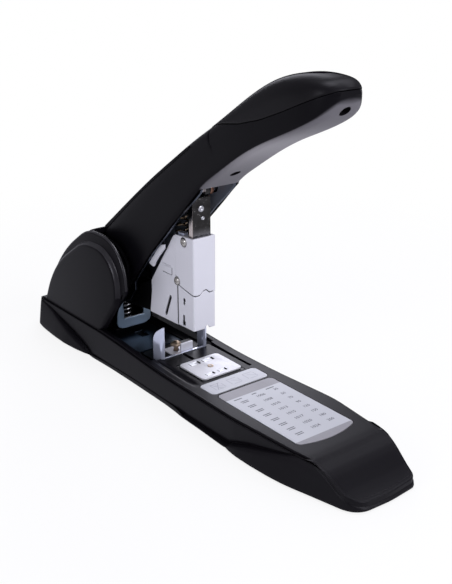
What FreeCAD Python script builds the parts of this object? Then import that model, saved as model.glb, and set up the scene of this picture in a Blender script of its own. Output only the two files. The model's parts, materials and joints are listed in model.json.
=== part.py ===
import FreeCAD, Part
import math
import os

# Heavy-duty stapler in millimetres, standing on its base with the lever up.
# The origin is the middle of the base on the table, +X points to the toe and +Z up.

# base moulding
base_length = 316.0
base_half = base_length / 2
deck_z = 18.0             # top of the deck in front
rear_deck_z = 22.0        # top of the base beside the hub
skirt_z = 2.0             # lower edge of the moulding above the table
rear_half = 29.0
waist_half = 28.8
belly_half = 30.0
toe_half = 25.5
rear_corner = 12.0
toe_corner = 7.0
toe_crest_x = base_half - 30
toe_lip_z = 9.0
base_wall = 2.5
bead_width = 0.7          # bead along the top of the side wall, outside the groove
bead_drop = 1.0           # how far it lies below the deck
groove_width = 0.6
groove_depth = 2.3
foot_spread = 5.2         # how far the front and rear feet stand out at the table
foot_z = 0.6
front_foot_x = base_half - 94
rear_foot_x = 72 - base_half

# opening in the deck and the tray below it
trough_rear_x = -112.0
trough_front_x = -21.0
trough_half = 24.0
slot_inner = 20.2
slot_outer = 22.2
slot_front_x = 20.0
tray_rear_x = -144.0
tray_front_x = 56.0
tray_floor_z = 12.0
ledge_z = 14.0
ledge_inner = 16.9
sheet = 1.5
floor_plate_length = 60.0
floor_plate_thick = 1.2

# pads and screws under the base
pad_diameter = 14.0
pad_rear_x = 20 - base_half
pad_front_x = base_half - 26
pad_y = 15.5
side_pad_x = 17.0
side_pad_length = 25.0
side_pad_width = 7.0
post_diameter = 8.0
screw_shank = 3.4
screw_head = 6.6
screw_rear_x = 38 - base_half
screw_front_x = 49.0
screw_y = 20.6

# hub
lever_pivot = (-79.5, 60.0)
magazine_pivot = (-119.5, 40.0)
upright_inner = 16.8
upright_thick = 2.0
cover_gap = 0.3
cover_ring_y = 24.6
cover_face_y = 27.6
cover_ring = 7.5
cover_wall = 2.4
cover_bevel = 1.6
dome_wall = 2.4
dome_front_x = -86.8
shaft_diameter = 8.0
rear_shaft_diameter = 7.0
shaft_head = 12.0
shaft_head_thick = 1.2
fit = 0.05                # radial running fit of pins and shafts
seat = 0.3                # gap between pieces that move past each other

# spring cradle
cradle_front_x = -76.5
cradle_length = 23.0
cradle_half = 10.4
cradle_front_z = 24.5
cradle_ear_z = 42.0
lift_spring_x = -88.0
lift_spring_top = 34.6
lift_spring_radius = 5.5
lift_spring_wire = 1.5

# magazine arm and head
arm_half = 7.3
arm_sheet = 0.8
head_front_x = 2.5
head_top_z = 99.2
head_bottom_z = 42.0
head_split_z = 64.5
head_split_x = -13.5
head_rear_x = -44.0
head_screw = 5.5
head_screw_rise = 0.9
rail_half = 5.6
rail_top_z = 62.0
rail_wall = 1.0
rail_slot = 2.4
rod_diameter = 3.0
rod_z = 55.0
pusher_length = 10.0
bush_diameter = 11.0

# driver
blade_half = 6.4
blade_thick = 1.6
backing_thick = 2.6
blade_bottom_z = 65.6
driver_pin_z = 126.3
driver_pin_diameter = 5.0
eye_diameter = 8.0
eye_gap = 2.4             # half width of the gap between the two eyes that hold the pin
driver_spring_x = -19.8
driver_spring_foot = 74.0
driver_spring_top = 120.0
driver_spring_radius = 4.0
driver_spring_wire = 1.0
lug_half = 2.6

# lever
lever_half = 14.5
grip_half = 16.0
lever_wall = 1.8
lever_hub_radius = 21.3
channel_half = lever_half - lever_wall - seat
channel_sheet = 1.4
pin_slot = 7.0
seam_gap = 0.3
tube_diameter = 12.0

# paper stop
ear_thick = 1.5
ear_rear_x = -27.8
ear_front_x = -15.5
ear_top_z = 40.7
stop_rear_x = -40.0
stop_screw_x = -28.5
stop_screw_head = 11.0
stop_screw_shank = 4.0
bracket_x = -22.0
ear_clearance = 1.6       # height of the ears over the front of the deck

# anvil and deck plates
anvil_x = 7.6
anvil_length = 25.6
anvil_half = 14.5
anvil_thick = 0.9
anvil_lift = 0.35
carrier_z = 17.9
rivet_diameter = 3.2
rivet_head = 4.6
rivet_head_thick = 0.3
groove_pair = 7.4
plate_thick = 0.5
plate_recess = 0.4
strip_rear_x = 23.5
strip_length = 14.3
strip_half = 20.8
table_rear_x = 39.8
table_length = 69.4
table_half = 20.1
table_bow = 6.6
plate_corner = 3.0

top_shift = 60.0          # longer than any height that a cutting tool has to pass


def rounded_wire(corners, place):
    """Closed wire through corners (u, v) or (u, v, radius), placed in space by the given function."""
    count = len(corners)
    ends = []
    for i, corner in enumerate(corners):
        here = FreeCAD.Vector(corner[0], corner[1], 0)
        before = FreeCAD.Vector(corners[i - 1][0], corners[i - 1][1], 0)
        after = FreeCAD.Vector(corners[(i + 1) % count][0], corners[(i + 1) % count][1], 0)
        radius = corner[2] if len(corner) > 2 else 0
        to_before = (before - here).normalize()
        to_after = (after - here).normalize()
        if radius == 0:
            ends.append((here, None, here))
            continue
        half_angle = to_before.getAngle(to_after) / 2
        reach = radius / math.tan(half_angle)
        middle_line = (to_before + to_after).normalize()
        middle = here + middle_line * (radius / math.sin(half_angle) - radius)
        ends.append((here + to_before * reach, middle, here + to_after * reach))
    edges = []
    for i, (start, middle, end) in enumerate(ends):
        following = ends[(i + 1) % count][0]
        if middle is not None:
            edges.append(Part.Arc(place(start), place(middle), place(end)).toShape())
        if end.distanceToPoint(following) > 1e-6:
            edges.append(Part.makeLine(place(end), place(following)))
    return Part.Wire(edges)


def side_face(corners):
    """Flat face in the XZ plane."""
    return Part.Face(rounded_wire(corners, lambda p: FreeCAD.Vector(p.x, 0, p.y)))


def plan_face(corners):
    """Flat face in the XY plane."""
    return Part.Face(rounded_wire(corners, lambda p: FreeCAD.Vector(p.x, p.y, 0)))


def across(face, y0, y1):
    """Side face made a solid from y0 to y1."""
    moved = face.copy()
    moved.translate(FreeCAD.Vector(0, y0, 0))
    return moved.extrude(FreeCAD.Vector(0, y1 - y0, 0))


def upward(face, z0, z1):
    """Plan face made a solid from z0 to z1."""
    moved = face.copy()
    moved.translate(FreeCAD.Vector(0, 0, z0))
    return moved.extrude(FreeCAD.Vector(0, 0, z1 - z0))


def block(x0, x1, y0, y1, z0, z1):
    return Part.makeBox(x1 - x0, y1 - y0, z1 - z0, FreeCAD.Vector(x0, y0, z0))


def pin_y(x, z, diameter, y0, y1):
    """Round bar along Y."""
    return Part.makeCylinder(diameter / 2, y1 - y0, FreeCAD.Vector(x, y0, z), FreeCAD.Vector(0, 1, 0))


def pin_z(x, y, diameter, z0, z1):
    """Round bar along Z."""
    return Part.makeCylinder(diameter / 2, z1 - z0, FreeCAD.Vector(x, y, z0))


def slot_bar(start, end, width, y0, y1):
    """Long hole with round ends between two points of the XZ plane, as a solid along Y."""
    first = pin_y(start[0], start[1], width, y0, y1)
    last = pin_y(end[0], end[1], width, y0, y1)
    run = FreeCAD.Vector(end[0] - start[0], end[1] - start[1], 0)
    side = FreeCAD.Vector(-run.y, run.x, 0).normalize() * (width / 2)
    corners = [
        (start[0] + side.x, start[1] + side.y),
        (end[0] + side.x, end[1] + side.y),
        (end[0] - side.x, end[1] - side.y),
        (start[0] - side.x, start[1] - side.y),
    ]
    return across(side_face(corners), y0, y1).fuse([first, last]).removeSplitter()


def mirrored(shape):
    """The same shape on the other side of the middle plane."""
    return shape.mirror(FreeCAD.Vector(0, 0, 0), FreeCAD.Vector(0, 1, 0))


def pair(shape):
    """A shape and its mirror image as two separate solids."""
    return Part.Compound([shape, mirrored(shape)])


def coil(x, y, z0, z1, radius, wire, turns):
    """Compression spring along Z between two heights, with its wire round a helix."""
    height = z1 - z0 - wire
    helix = Part.makeHelix(height / turns, height, radius - wire / 2)
    start = FreeCAD.Vector(radius - wire / 2, 0, 0)
    ring = Part.Wire([Part.makeCircle(wire / 2, start, FreeCAD.Vector(0, 1, height / turns / 20))])
    spring = Part.Wire(helix.Edges).makePipeShell([ring], True, True)
    spring.translate(FreeCAD.Vector(x, y, z0 + wire / 2))
    return spring


def largest(shape):
    """Largest solid of a cut, as a single piece."""
    return max(shape.Solids, key=lambda solid: solid.Volume)


def save(node, shape):
    shape.exportStep("parts/" + node + ".step")


# outlines that several pieces share

def base_outline(inset):
    """Plan of the base: nearly straight sides that swell before the toe and draw in at it."""
    rear = base_half - inset
    corners = [
        (-rear, rear_half - inset, max(rear_corner - inset, 1)),
        (-40, waist_half - inset, 400),
        (66, belly_half - inset, 90),
        (110, toe_half + 2 - inset, 200),
        (base_half - 3 - inset, toe_half - 1 - inset, max(toe_corner - inset, 1)),
        (base_half + 1 - inset, 0, 70),
    ]
    other = [(x, -y, radius) for x, y, radius in reversed(corners[:-1])]
    return plan_face(corners + other)


def base_side(lower):
    """Side view of the base: high beside the hub, a flat deck, and the slope of the toe."""
    end = base_half + 5
    return side_face([
        (-end, skirt_z - top_shift),
        (-end, rear_deck_z - lower),
        (-70, rear_deck_z - lower, 200),
        (-2, deck_z - lower, 200),
        (toe_crest_x, deck_z - lower, 14),
        (base_half - 2, toe_lip_z - lower, 4),
        (end, toe_lip_z - 4 - lower),
        (end, skirt_z - top_shift),
    ])


def cover_outline():
    """Side view of the hub: a long rise at the back, a round top and a straight slanted front."""
    return side_face([
        (-153.0, deck_z - 10),
        (-153.0, 20.6),
        (-130.4, 59.7, 120),
        (-90.9, 85.3, 36),
        (-50.5, 85.3, 27),
        (-45.3, 55.9, 1.5),
        (-77.1, 19.6),
        (-87.3, deck_z - 10),
    ])


def lever_station(top, bottom, half, crown, edge):
    """Cross-section of the lever between a point of its top line and one of its lower line."""
    foot = FreeCAD.Vector(bottom[0], 0, bottom[1])
    rise = FreeCAD.Vector(top[0] - bottom[0], 0, top[1] - bottom[1])
    height = rise.Length
    rise.normalize()
    shoulder = height - crown * 0.28

    def place(p):
        return foot + rise * p.y + FreeCAD.Vector(0, p.x, 0)

    return rounded_wire([
        (-half, 0, edge),
        (-half, shoulder - crown * 0.3, crown),
        (0, height + crown * 0.12, crown * 2),
        (half, shoulder - crown * 0.3, crown),
        (half, 0, edge),
    ], place)


def lever_body():
    """Outer form of the lever from the hub to the tip, lofted through its cross-sections."""
    stations = [
        ((-86.5, 88.2), (-64.0, 40.5), lever_half, 6.0, 1.0),
        ((-62.0, 106.9), (-40.0, 70.5), lever_half, 6.0, 1.0),
        ((-35.0, 127.0), (-15.0, 98.2), lever_half, 6.0, 1.0),
        ((-10.0, 144.8), (4.0, 118.5), lever_half, 6.0, 1.2),
        ((12.0, 160.3), (22.0, 136.3), lever_half + 0.2, 6.5, 1.6),
        ((24.0, 168.8), (33.0, 145.0), lever_half + 0.5, 7.5, 2.2),
        ((45.0, 183.2), (53.0, 157.8), grip_half - 0.3, 9.0, 3.0),
        ((68.0, 196.6), (73.0, 168.0), grip_half, 9.5, 3.0),
        ((90.0, 203.2), (92.0, 176.2), grip_half, 9.0, 3.0),
        ((104.0, 202.9), (105.0, 183.2), grip_half - 1.2, 7.0, 2.4),
        ((112.0, 200.2), (112.2, 187.6), grip_half - 4.0, 4.5, 1.6),
        ((116.8, 196.2), (116.8, 191.5), grip_half - 8.0, 1.8, 0.8),
    ]
    wires = [lever_station(*station) for station in stations]
    beam = Part.makeLoft(wires, True, False)
    hub = pin_y(lever_pivot[0], lever_pivot[1], lever_hub_radius * 2, -lever_half, lever_half)
    return beam.fuse(hub)


def seam_face(grow):
    """Side view of the raised grip insert, which starts at a step and rises to the tip."""
    return side_face([
        (23.0 - grow, 190.0),
        (23.8 - grow, 167.6 - grow, 1.0),
        (34.0, 172.0 - grow, 12),
        (56.0, 174.6 - grow, 45),
        (101.0, 191.7 - grow, 120),
        (126.0, 199.0 - grow),
        (126.0, 220.0),
        (23.0 - grow, 220.0),
    ])


def channel_face():
    """Side view of the steel channel inside the lever."""
    return side_face([
        (-96.4, 51.0),
        (-96.4, 66.0),
        (-90.0, 74.4),
        (-83.0, 78.2),
        (-80.8, 86.4, 3),
        (12.0, 156.2),
        (30.0, 164.8),
        (58.0, 171.8),
        (58.0, 165.9),
        (36.0, 151.4),
        (19.5, 139.3),
        (15.2, 129.4),
        (4.6, 118.1),
        (-14.5, 97.8),
        (-39.4, 70.1),
        (-61.6, 43.4, 3),
        (-68.0, 42.6),
        (-90.0, 44.6),
    ])


def arm_face():
    """Side view of the magazine: the head in front and the arm back to its pivot."""
    pivot_x, pivot_z = magazine_pivot
    return side_face([
        (-5.2, head_bottom_z),
        (-5.2, head_top_z - 2),
        (-16.0, head_top_z - 2.4),
        (-41.3, 61.5),
        (-46.0, 60.0, 4),
        (-62.0, 52.0, 10),
        (-84.0, 50.5),
        (pivot_x, pivot_z + 8, 6),
        (pivot_x - 8, pivot_z + 2, 6),
        (pivot_x - 6, pivot_z - 8, 5),
        (-88.0, lift_spring_top + 0.4),
        (head_rear_x, head_bottom_z - 1.4),
    ])


# base

def foot(crease):
    """One widened foot of the base: outward at the table, drawn in to the side wall above."""
    low = base_outline(-foot_spread)
    high = base_outline(0.2)
    high.translate(FreeCAD.Vector(0, 0, deck_z + 4))
    low.translate(FreeCAD.Vector(0, 0, foot_z))
    body = Part.makeLoft([low.OuterWire, high.OuterWire], True, True)
    keep = across(side_face(crease), -50, 50)
    limit = block(-base_half, base_half, -50, 50, -5, deck_z + 10)
    return body.common(keep).common(limit)


def edge_ring(outer, inner, depth):
    """Ring between two insets of the base's outline, from a depth below its top upwards."""
    ring = upward(base_outline(outer), -1, top_shift)
    ring = ring.cut(upward(base_outline(inner), -2, top_shift + 1))
    ring = ring.common(block(4 - base_half, toe_crest_x - 8, -50, 50, -5, top_shift))
    lowered = upward(base_outline(-2), -5, top_shift).common(across(base_side(depth), -50, 50))
    return ring.cut(lowered)


def base_shell():
    body = upward(base_outline(0), skirt_z, top_shift).common(across(base_side(0), -50, 50))
    for outer, depth in ((-1, bead_drop), (bead_width, groove_depth)):
        body = body.cut(edge_ring(outer, bead_width + groove_width, depth))

    front = foot([
        (front_foot_x, -2),
        (front_foot_x + 2, 4.5, 3),
        (front_foot_x + 29, 10.4, 200),
        (front_foot_x + 60, 20.0, 10),
        (base_half + 2, toe_lip_z + 1.2),
        (base_half + 2, -2),
    ])
    rear = foot([
        (-base_half - 2, -2),
        (-base_half - 2, 19.0),
        (11 - base_half, 17.3, 8),
        (rear_foot_x - 6, 3.4, 8),
        (rear_foot_x, -2),
    ])
    cavity = upward(base_outline(base_wall), -5, top_shift).common(across(base_side(base_wall), -50, 50))
    shell = body.fuse([front, rear]).cut(cavity)

    posts = []
    for sign in (-1, 1):
        for x in (pad_rear_x, pad_front_x):
            posts.append(pin_z(x, sign * pad_y, pad_diameter + 2, skirt_z, top_shift))
        edge_y = waist_half - side_pad_width
        rest = block(side_pad_x, side_pad_x + side_pad_length, edge_y, edge_y + 4, skirt_z, top_shift)
        posts.append(rest if sign > 0 else mirrored(rest))
        for x in (screw_rear_x, screw_front_x):
            posts.append(pin_z(x, sign * screw_y, post_diameter, ledge_z, top_shift))
    inside = upward(base_outline(base_wall / 2), 0, top_shift)
    inside = inside.common(across(base_side(base_wall / 2), -50, 50))
    shell = shell.fuse([post.common(inside) for post in posts])

    openings = [
        block(trough_rear_x, trough_front_x, -trough_half, trough_half, ledge_z - 3, top_shift),
        block(anvil_x - anvil_length / 2 - 1.5, anvil_x + anvil_length / 2 + 1.5,
              -anvil_half - 1, anvil_half + 1, 5, top_shift),
        block(trough_front_x - 1, anvil_x, -slot_inner, slot_inner, deck_z, top_shift),
    ]
    for sign in (-1, 1):
        slot = block(trough_front_x - 1, slot_front_x, slot_inner, slot_outer, 5, top_shift)
        openings.append(slot if sign > 0 else mirrored(slot))
        cheek = block(-base_half + 6, trough_rear_x + 1, upright_inner - seat,
                      upright_inner + upright_thick + seat, ledge_z - seat, top_shift)
        openings.append(cheek if sign > 0 else mirrored(cheek))
        for x in (screw_rear_x, screw_front_x):
            openings.append(pin_z(x, sign * screw_y, screw_shank + 0.1, ledge_z - 1, ledge_z + 3))
    openings.append(upward(strip_face(seat), deck_z - plate_recess, top_shift))
    openings.append(upward(table_face(seat), deck_z - plate_recess, top_shift))
    return largest(shell.cut(openings).removeSplitter())


def strip_face(grow):
    """Plan of the narrow deck plate, with rounded corners."""
    front = strip_rear_x + strip_length + grow
    rear = strip_rear_x - grow
    half = strip_half + grow
    return plan_face([
        (rear, -half, plate_corner),
        (front, -half, plate_corner),
        (front, half, plate_corner),
        (rear, half, plate_corner),
    ])


def table_face(grow):
    """Plan of the large deck plate, bowed towards the toe."""
    front = table_rear_x + table_length + grow
    rear = table_rear_x - grow
    half = table_half + grow
    return plan_face([
        (rear, -half, plate_corner),
        (front, -half, plate_corner),
        (front + table_bow, 0, 50),
        (front, half, plate_corner),
        (rear, half, plate_corner),
    ])


def base_chassis():
    """Pressed tray: a floor, a raised ledge on each side and a flange that turns down."""
    top = ledge_z
    outer = trough_half - 0.4
    corners = [
        (-outer, 4), (-outer, top), (-ledge_inner, top), (-ledge_inner, tray_floor_z),
        (ledge_inner, tray_floor_z), (ledge_inner, top), (outer, top), (outer, 4),
        (outer - sheet, 4), (outer - sheet, top - sheet), (ledge_inner + sheet, top - sheet),
        (ledge_inner + sheet, tray_floor_z - sheet), (-ledge_inner - sheet, tray_floor_z - sheet),
        (-ledge_inner - sheet, top - sheet), (-outer + sheet, top - sheet), (-outer + sheet, 4),
    ]
    section = Part.Face(rounded_wire(corners, lambda p: FreeCAD.Vector(tray_rear_x, p.x, p.y)))
    tray = section.extrude(FreeCAD.Vector(tray_front_x - tray_rear_x, 0, 0))
    holes = []
    for sign in (-1, 1):
        for x in (screw_rear_x, screw_front_x):
            holes.append(pin_z(x, sign * screw_y, screw_shank + 0.4, 4, top_shift))
            holes.append(pin_z(x, sign * screw_y, screw_head + 0.6, 0, ledge_z - sheet))
        holes.append(pin_z(pad_rear_x, sign * pad_y, pad_diameter + 3, 0, top_shift))
        cut = block(side_pad_x - seat, side_pad_x + side_pad_length + seat,
                    waist_half - side_pad_width - seat, 40, 0, top_shift)
        holes.append(cut if sign > 0 else mirrored(cut))
    holes.append(pin_z(anvil_x, 0, rivet_diameter + 0.1, 5, 20))
    return largest(tray.cut(holes))


def base_screws():
    screws = []
    for sign in (-1, 1):
        for x in (screw_rear_x, screw_front_x):
            head = pin_z(x, sign * screw_y, screw_head, ledge_z - sheet - 2, ledge_z - sheet)
            shank = pin_z(x, sign * screw_y, screw_shank, ledge_z - sheet - 1, ledge_z + 2.8)
            screws.append(head.fuse(shank).removeSplitter())
    return Part.Compound(screws)


def rubber_feet():
    pads = []
    for sign in (-1, 1):
        for x in (pad_rear_x, pad_front_x):
            pads.append(pin_z(x, sign * pad_y, pad_diameter, 0, skirt_z))
        edge_y = waist_half - side_pad_width
        strip = block(side_pad_x, side_pad_x + side_pad_length, edge_y, waist_half - 0.4, 0, skirt_z)
        pads.append(strip if sign > 0 else mirrored(strip))
    return Part.Compound(pads)


def floor_plate():
    front = cradle_front_x + floor_plate_length / 2
    plate = block(front - floor_plate_length, front, -ledge_inner + 0.4, ledge_inner - 0.4,
                  tray_floor_z, tray_floor_z + floor_plate_thick)
    window = block(cradle_front_x + 1, cradle_front_x + 11, -1, 5, 0, top_shift)
    return plate.cut(window)


# hub

def hub_upright():
    face = cover_outline().makeOffset2D(-dome_wall - 1.1)
    plate = across(face, upright_inner, upright_inner + upright_thick)
    plate = plate.common(block(-200, 0, 0, 50, ledge_z, 200))
    plate = plate.cut(across(side_face([(-70, 0), (-30, 46), (-30, 0)]), 0, 50))
    holes = [
        pin_y(lever_pivot[0], lever_pivot[1], shaft_diameter + fit * 2, 0, 50),
        pin_y(magazine_pivot[0], magazine_pivot[1], rear_shaft_diameter + fit * 2, 0, 50),
    ]
    return plate.cut(holes)


def hub_cover():
    """D-shaped moulded cover: a plain ring with a raised face inside it, hollow behind."""
    inner_y = upright_inner + upright_thick + cover_gap
    floor = block(-200, 0, 0, 60, rear_deck_z, 200)
    ring = across(cover_outline(), inner_y, cover_ring_y).common(floor)
    deep = cover_outline().makeOffset2D(-cover_ring)
    face_low = deep.OuterWire
    face_high = cover_outline().makeOffset2D(-cover_ring - cover_bevel).OuterWire
    low = face_low.copy()
    low.translate(FreeCAD.Vector(0, cover_ring_y - 0.5, 0))
    high = face_high.copy()
    high.translate(FreeCAD.Vector(0, cover_face_y, 0))
    raised = Part.makeLoft([low, high], True, True).common(floor)
    hollow = cover_outline().makeOffset2D(-cover_ring - cover_wall)
    room = across(hollow, inner_y - 1, cover_ring_y).common(block(-200, 0, 0, 60, rear_deck_z + cover_wall, 200))
    return ring.fuse(raised).cut(room).removeSplitter()


def hub_dome():
    """Moulding between the two covers, closed at the back and open where the lever comes out."""
    width = upright_inner + upright_thick
    outer = across(cover_outline().makeOffset2D(-0.4), -width, width)
    inner = across(cover_outline().makeOffset2D(-0.4 - dome_wall), -width - 1, width + 1)
    below = block(-200, 0, -60, 60, -50, rear_deck_z)
    front = block(dome_front_x, 0, -60, 60, -50, 200)
    return outer.cut([inner, below, front])


def lever_shaft():
    return headed_shaft(lever_pivot, shaft_diameter)


def magazine_shaft():
    return headed_shaft(magazine_pivot, rear_shaft_diameter)


def headed_shaft(centre, diameter):
    outside = upright_inner + upright_thick
    bar = pin_y(centre[0], centre[1], diameter, -outside, outside)
    near = pin_y(centre[0], centre[1], shaft_head, -outside - shaft_head_thick, -outside)
    far = pin_y(centre[0], centre[1], shaft_head, outside, outside + shaft_head_thick)
    return bar.fuse([near, far]).removeSplitter()


def spring_cradle():
    """Bent sheet: a floor, a low front wall and two ears that rise to a point."""
    rear = cradle_front_x - cradle_length
    floor_z = tray_floor_z + floor_plate_thick
    ear = side_face([
        (rear, floor_z), (cradle_front_x, floor_z), (cradle_front_x, cradle_front_z),
        (cradle_front_x + 4.5, cradle_ear_z), (cradle_front_x + 1.5, cradle_ear_z + 0.5),
        (cradle_front_x - 6, cradle_front_z - 2), (rear, cradle_front_z - 4),
    ])
    side = across(ear, cradle_half - sheet, cradle_half)
    floor = block(rear, cradle_front_x, -cradle_half, cradle_half, floor_z, floor_z + sheet)
    front = block(cradle_front_x - sheet, cradle_front_x, -cradle_half, cradle_half, floor_z, cradle_front_z)
    return floor.fuse([front, side, mirrored(side)]).removeSplitter()


def lift_spring():
    foot_z_here = tray_floor_z + floor_plate_thick + sheet
    return coil(lift_spring_x, 0, foot_z_here + 0.1, lift_spring_top - 0.3,
                lift_spring_radius, lift_spring_wire, 6)


# paper stop

def paper_stop():
    """Fork that slides on the ledges, with an ear on each side of the head."""
    ear_y = ledge_inner - 0.1
    base_z = ledge_z + seat
    front = trough_front_x - 0.4
    base = block(stop_rear_x, front, -ear_y - ear_thick, ear_y + ear_thick, base_z, base_z + sheet)
    ear = across(side_face([
        (ear_rear_x, base_z),
        (front, base_z),
        (front, deck_z + ear_clearance),
        (ear_front_x, deck_z + ear_clearance),
        (ear_front_x, ear_top_z, 2),
        (-23.0, ear_top_z, 2),
        (ear_rear_x, 31.0, 2),
    ]), ear_y, ear_y + ear_thick)
    lip = across(side_face([(ear_rear_x, base_z + sheet), (front, base_z + sheet), (front, deck_z + 1),
                            (ear_rear_x, deck_z + 1)]), ear_y + ear_thick, ear_y + ear_thick + 3.2)
    lip = lip.cut(pin_x(ear_rear_x - 1, ear_y + ear_thick + 3.2, deck_z + 1.2, 5.6, front + 1))
    hole = pin_z(stop_screw_x, 0, stop_screw_shank + 2 * fit, 0, top_shift)
    return base.fuse([ear, mirrored(ear), lip, mirrored(lip)]).removeSplitter().cut(hole)


def pin_x(x0, y, z, diameter, x1):
    """Round bar along X."""
    return Part.makeCylinder(diameter / 2, x1 - x0, FreeCAD.Vector(x0, y, z), FreeCAD.Vector(1, 0, 0))


def stop_bracket():
    """Bent nickel plate that the clamp screw presses on the fork."""
    base_z = ledge_z + seat + sheet
    flat = block(stop_screw_x - 6, bracket_x + 0.6, -6, 8, base_z, base_z + 1)
    leaf = block(bracket_x - 0.6, bracket_x + 0.6, -1, 8, base_z, 23.5)
    hole = pin_z(stop_screw_x, 0, stop_screw_shank + 2 * fit, 0, top_shift)
    return flat.fuse(leaf).removeSplitter().cut(hole)


def stop_screw():
    """Mushroom-headed clamp screw."""
    rest_z = ledge_z + seat + sheet + 1
    shank = pin_z(stop_screw_x, 0, stop_screw_shank, tray_floor_z + floor_plate_thick + seat, rest_z + 1)
    neck = pin_z(stop_screw_x, 0, 6.4, rest_z + 0.05, rest_z + 2.2)
    head = pin_z(stop_screw_x, 0, stop_screw_head, rest_z + 2.2, rest_z + 5.2)
    head = head.makeFillet(1.4, [edge for edge in head.Edges if edge.Closed])
    return shank.fuse([neck, head]).removeSplitter()


# anvil

def anvil_carrier():
    """Block under the anvil plate, with notches along its edges."""
    half_x = anvil_length / 2 + 1.2
    half_y = anvil_half + 0.7
    body = block(anvil_x - half_x, anvil_x + half_x, -half_y, half_y, tray_floor_z, carrier_z)
    notches = [pin_z(anvil_x, 0, rivet_diameter + 0.1, 0, top_shift)]
    for i in range(7):
        x = anvil_x - half_x + 3.2 + i * (half_x * 2 - 6.4) / 6
        for sign in (-1, 1):
            notches.append(block(x - 0.7, x + 0.7, sign * half_y - 0.8, sign * half_y + 0.8, carrier_z - 1.2, 30))
    return body.cut(notches)


def anvil_plate():
    """Square plate with a pair of clinch grooves at each end."""
    half_x = anvil_length / 2
    rest_z = carrier_z + anvil_lift
    top = rest_z + anvil_thick
    plate = upward(plan_face([
        (anvil_x - half_x, -anvil_half, 2.5), (anvil_x + half_x, -anvil_half, 2.5),
        (anvil_x + half_x, anvil_half, 2.5), (anvil_x - half_x, anvil_half, 2.5),
    ]), rest_z, top)
    cuts = [pin_z(anvil_x, 0, rivet_diameter + 2 * fit, 0, top_shift)]
    for end, narrow in ((-1, 1.0), (1, 1.3)):
        x = anvil_x + end * 8.6
        for sign in (-1, 1):
            y = sign * groove_pair
            cuts.append(block(x - narrow, x + narrow, y - 2.6, y + 2.6, top - 0.5, top + 1))
    return plate.cut(cuts)


def anvil_rivet():
    top = carrier_z + anvil_lift + anvil_thick
    shank = pin_z(anvil_x, 0, rivet_diameter, tray_floor_z - sheet, top + 0.1)
    head = pin_z(anvil_x, 0, rivet_head, top + 0.1, top + 0.1 + rivet_head_thick)
    foot_head = pin_z(anvil_x, 0, rivet_head + 1, tray_floor_z - sheet - 1, tray_floor_z - sheet)
    return shank.fuse([head, foot_head]).removeSplitter()


# magazine

def magazine_frame():
    """Channel of the magazine: two side walls and a floor, open above, with the arm to the pivot."""
    walls = across(arm_face(), -arm_half, arm_half)
    shifted = arm_face()
    shifted.translate(FreeCAD.Vector(0, 0, arm_sheet))
    inside = across(shifted, -arm_half + arm_sheet, arm_half - arm_sheet)
    raised = arm_face()
    raised.translate(FreeCAD.Vector(-1, 0, arm_sheet + 9))
    room = across(raised, -arm_half + arm_sheet, arm_half - arm_sheet)
    front = block(-20, 10, -arm_half + arm_sheet, arm_half - arm_sheet, head_bottom_z + arm_sheet, 200)
    bore = pin_y(magazine_pivot[0], magazine_pivot[1], bush_diameter + 0.1, -50, 50)
    return walls.cut([inside, room, front, bore])


def magazine_bush():
    length = upright_inner - seat
    tube = pin_y(magazine_pivot[0], magazine_pivot[1], bush_diameter, -length, length)
    return tube.cut(pin_y(magazine_pivot[0], magazine_pivot[1], rear_shaft_diameter + 2 * fit, -50, 50))


def head_skin(corners):
    """Bent nickel sheet round the front of the head."""
    outside = arm_half + arm_sheet
    solid = across(side_face(corners), -outside, outside)
    room = block(-100, head_front_x - arm_sheet, -arm_half, arm_half, 0, 200)
    return solid.cut(room)


def wavy_edge(lift):
    """Curve where the upper and the lower sheet meet: it dips at the corner of the head."""
    return [(head_front_x + 1, head_split_z - 0.5 + lift), (0.5, head_split_z - 0.6 + lift, 2),
            (-6, head_split_z + 0.9 + lift, 4), (head_split_x - 2.0, head_split_z + 3.2 + lift)]


def head_housing():
    low = wavy_edge(0)
    skin = head_skin([
        (head_front_x, low[0][1]), low[1], low[2], low[3],
        (head_split_x - 2.0, head_top_z - 1.2),
        (head_front_x, head_top_z, 0.6),
    ])
    window = block(-4.9, 0.5, -blade_half - 0.3, blade_half + 0.3, 90, 200)
    return skin.cut([window, head_screw_hole(-7.1, 95.2), head_screw_hole(-14.4, 69.2)])


def front_cover():
    low = wavy_edge(-0.2)
    skin = head_skin([
        (head_front_x + 0.0, head_bottom_z - 0.4),
        (head_front_x, low[0][1]), low[1], low[2],
        (head_split_x + 0.1, low[3][1] - 0.5),
        (head_split_x + 0.1, head_bottom_z - 0.8),
    ])
    mouth = pin_x(head_front_x - 2, 0, head_bottom_z - 0.6, 3.4, head_front_x + 1)
    marks = [block(-8.6, -6.0, -20, 20, 57.6, 59.2), block(-8.9, -6.6, -20, 20, 44.0, 46.6)]
    return skin.cut([mouth] + marks)


def side_plate():
    """Side sheet of the head, behind the front sheets, with a raised tab and a slanted slot."""
    outside = arm_half + arm_sheet
    face = side_face([
        (head_split_x - 0.2, head_bottom_z - 0.9),
        (head_split_x - 0.2, head_split_z + 2.4),
        (head_split_x - 2.3, head_split_z + 3.2),
        (head_split_x - 2.3, head_top_z - 1.6),
        (-17.2, head_top_z - 2.2, 1),
        (-41.9, 61.7, 1),
        (-41.7, 55.2),
        (head_rear_x, head_bottom_z - 1.6),
    ])
    plate = across(face, arm_half, outside)
    tab = block(-29.0, -19.3, outside - 0.2, outside + 0.35, 69.2, 77)
    slot = slot_bar((-21.5, 56.7), (-26.5, 44.6), 2.4, 0, 50)
    return plate.fuse(tab).cut([slot, head_screw_hole(-14.4, 69.2)]).removeSplitter()


def head_screw_hole(x, z):
    return pin_y(x, z, 2.7, -50, 50)


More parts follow.
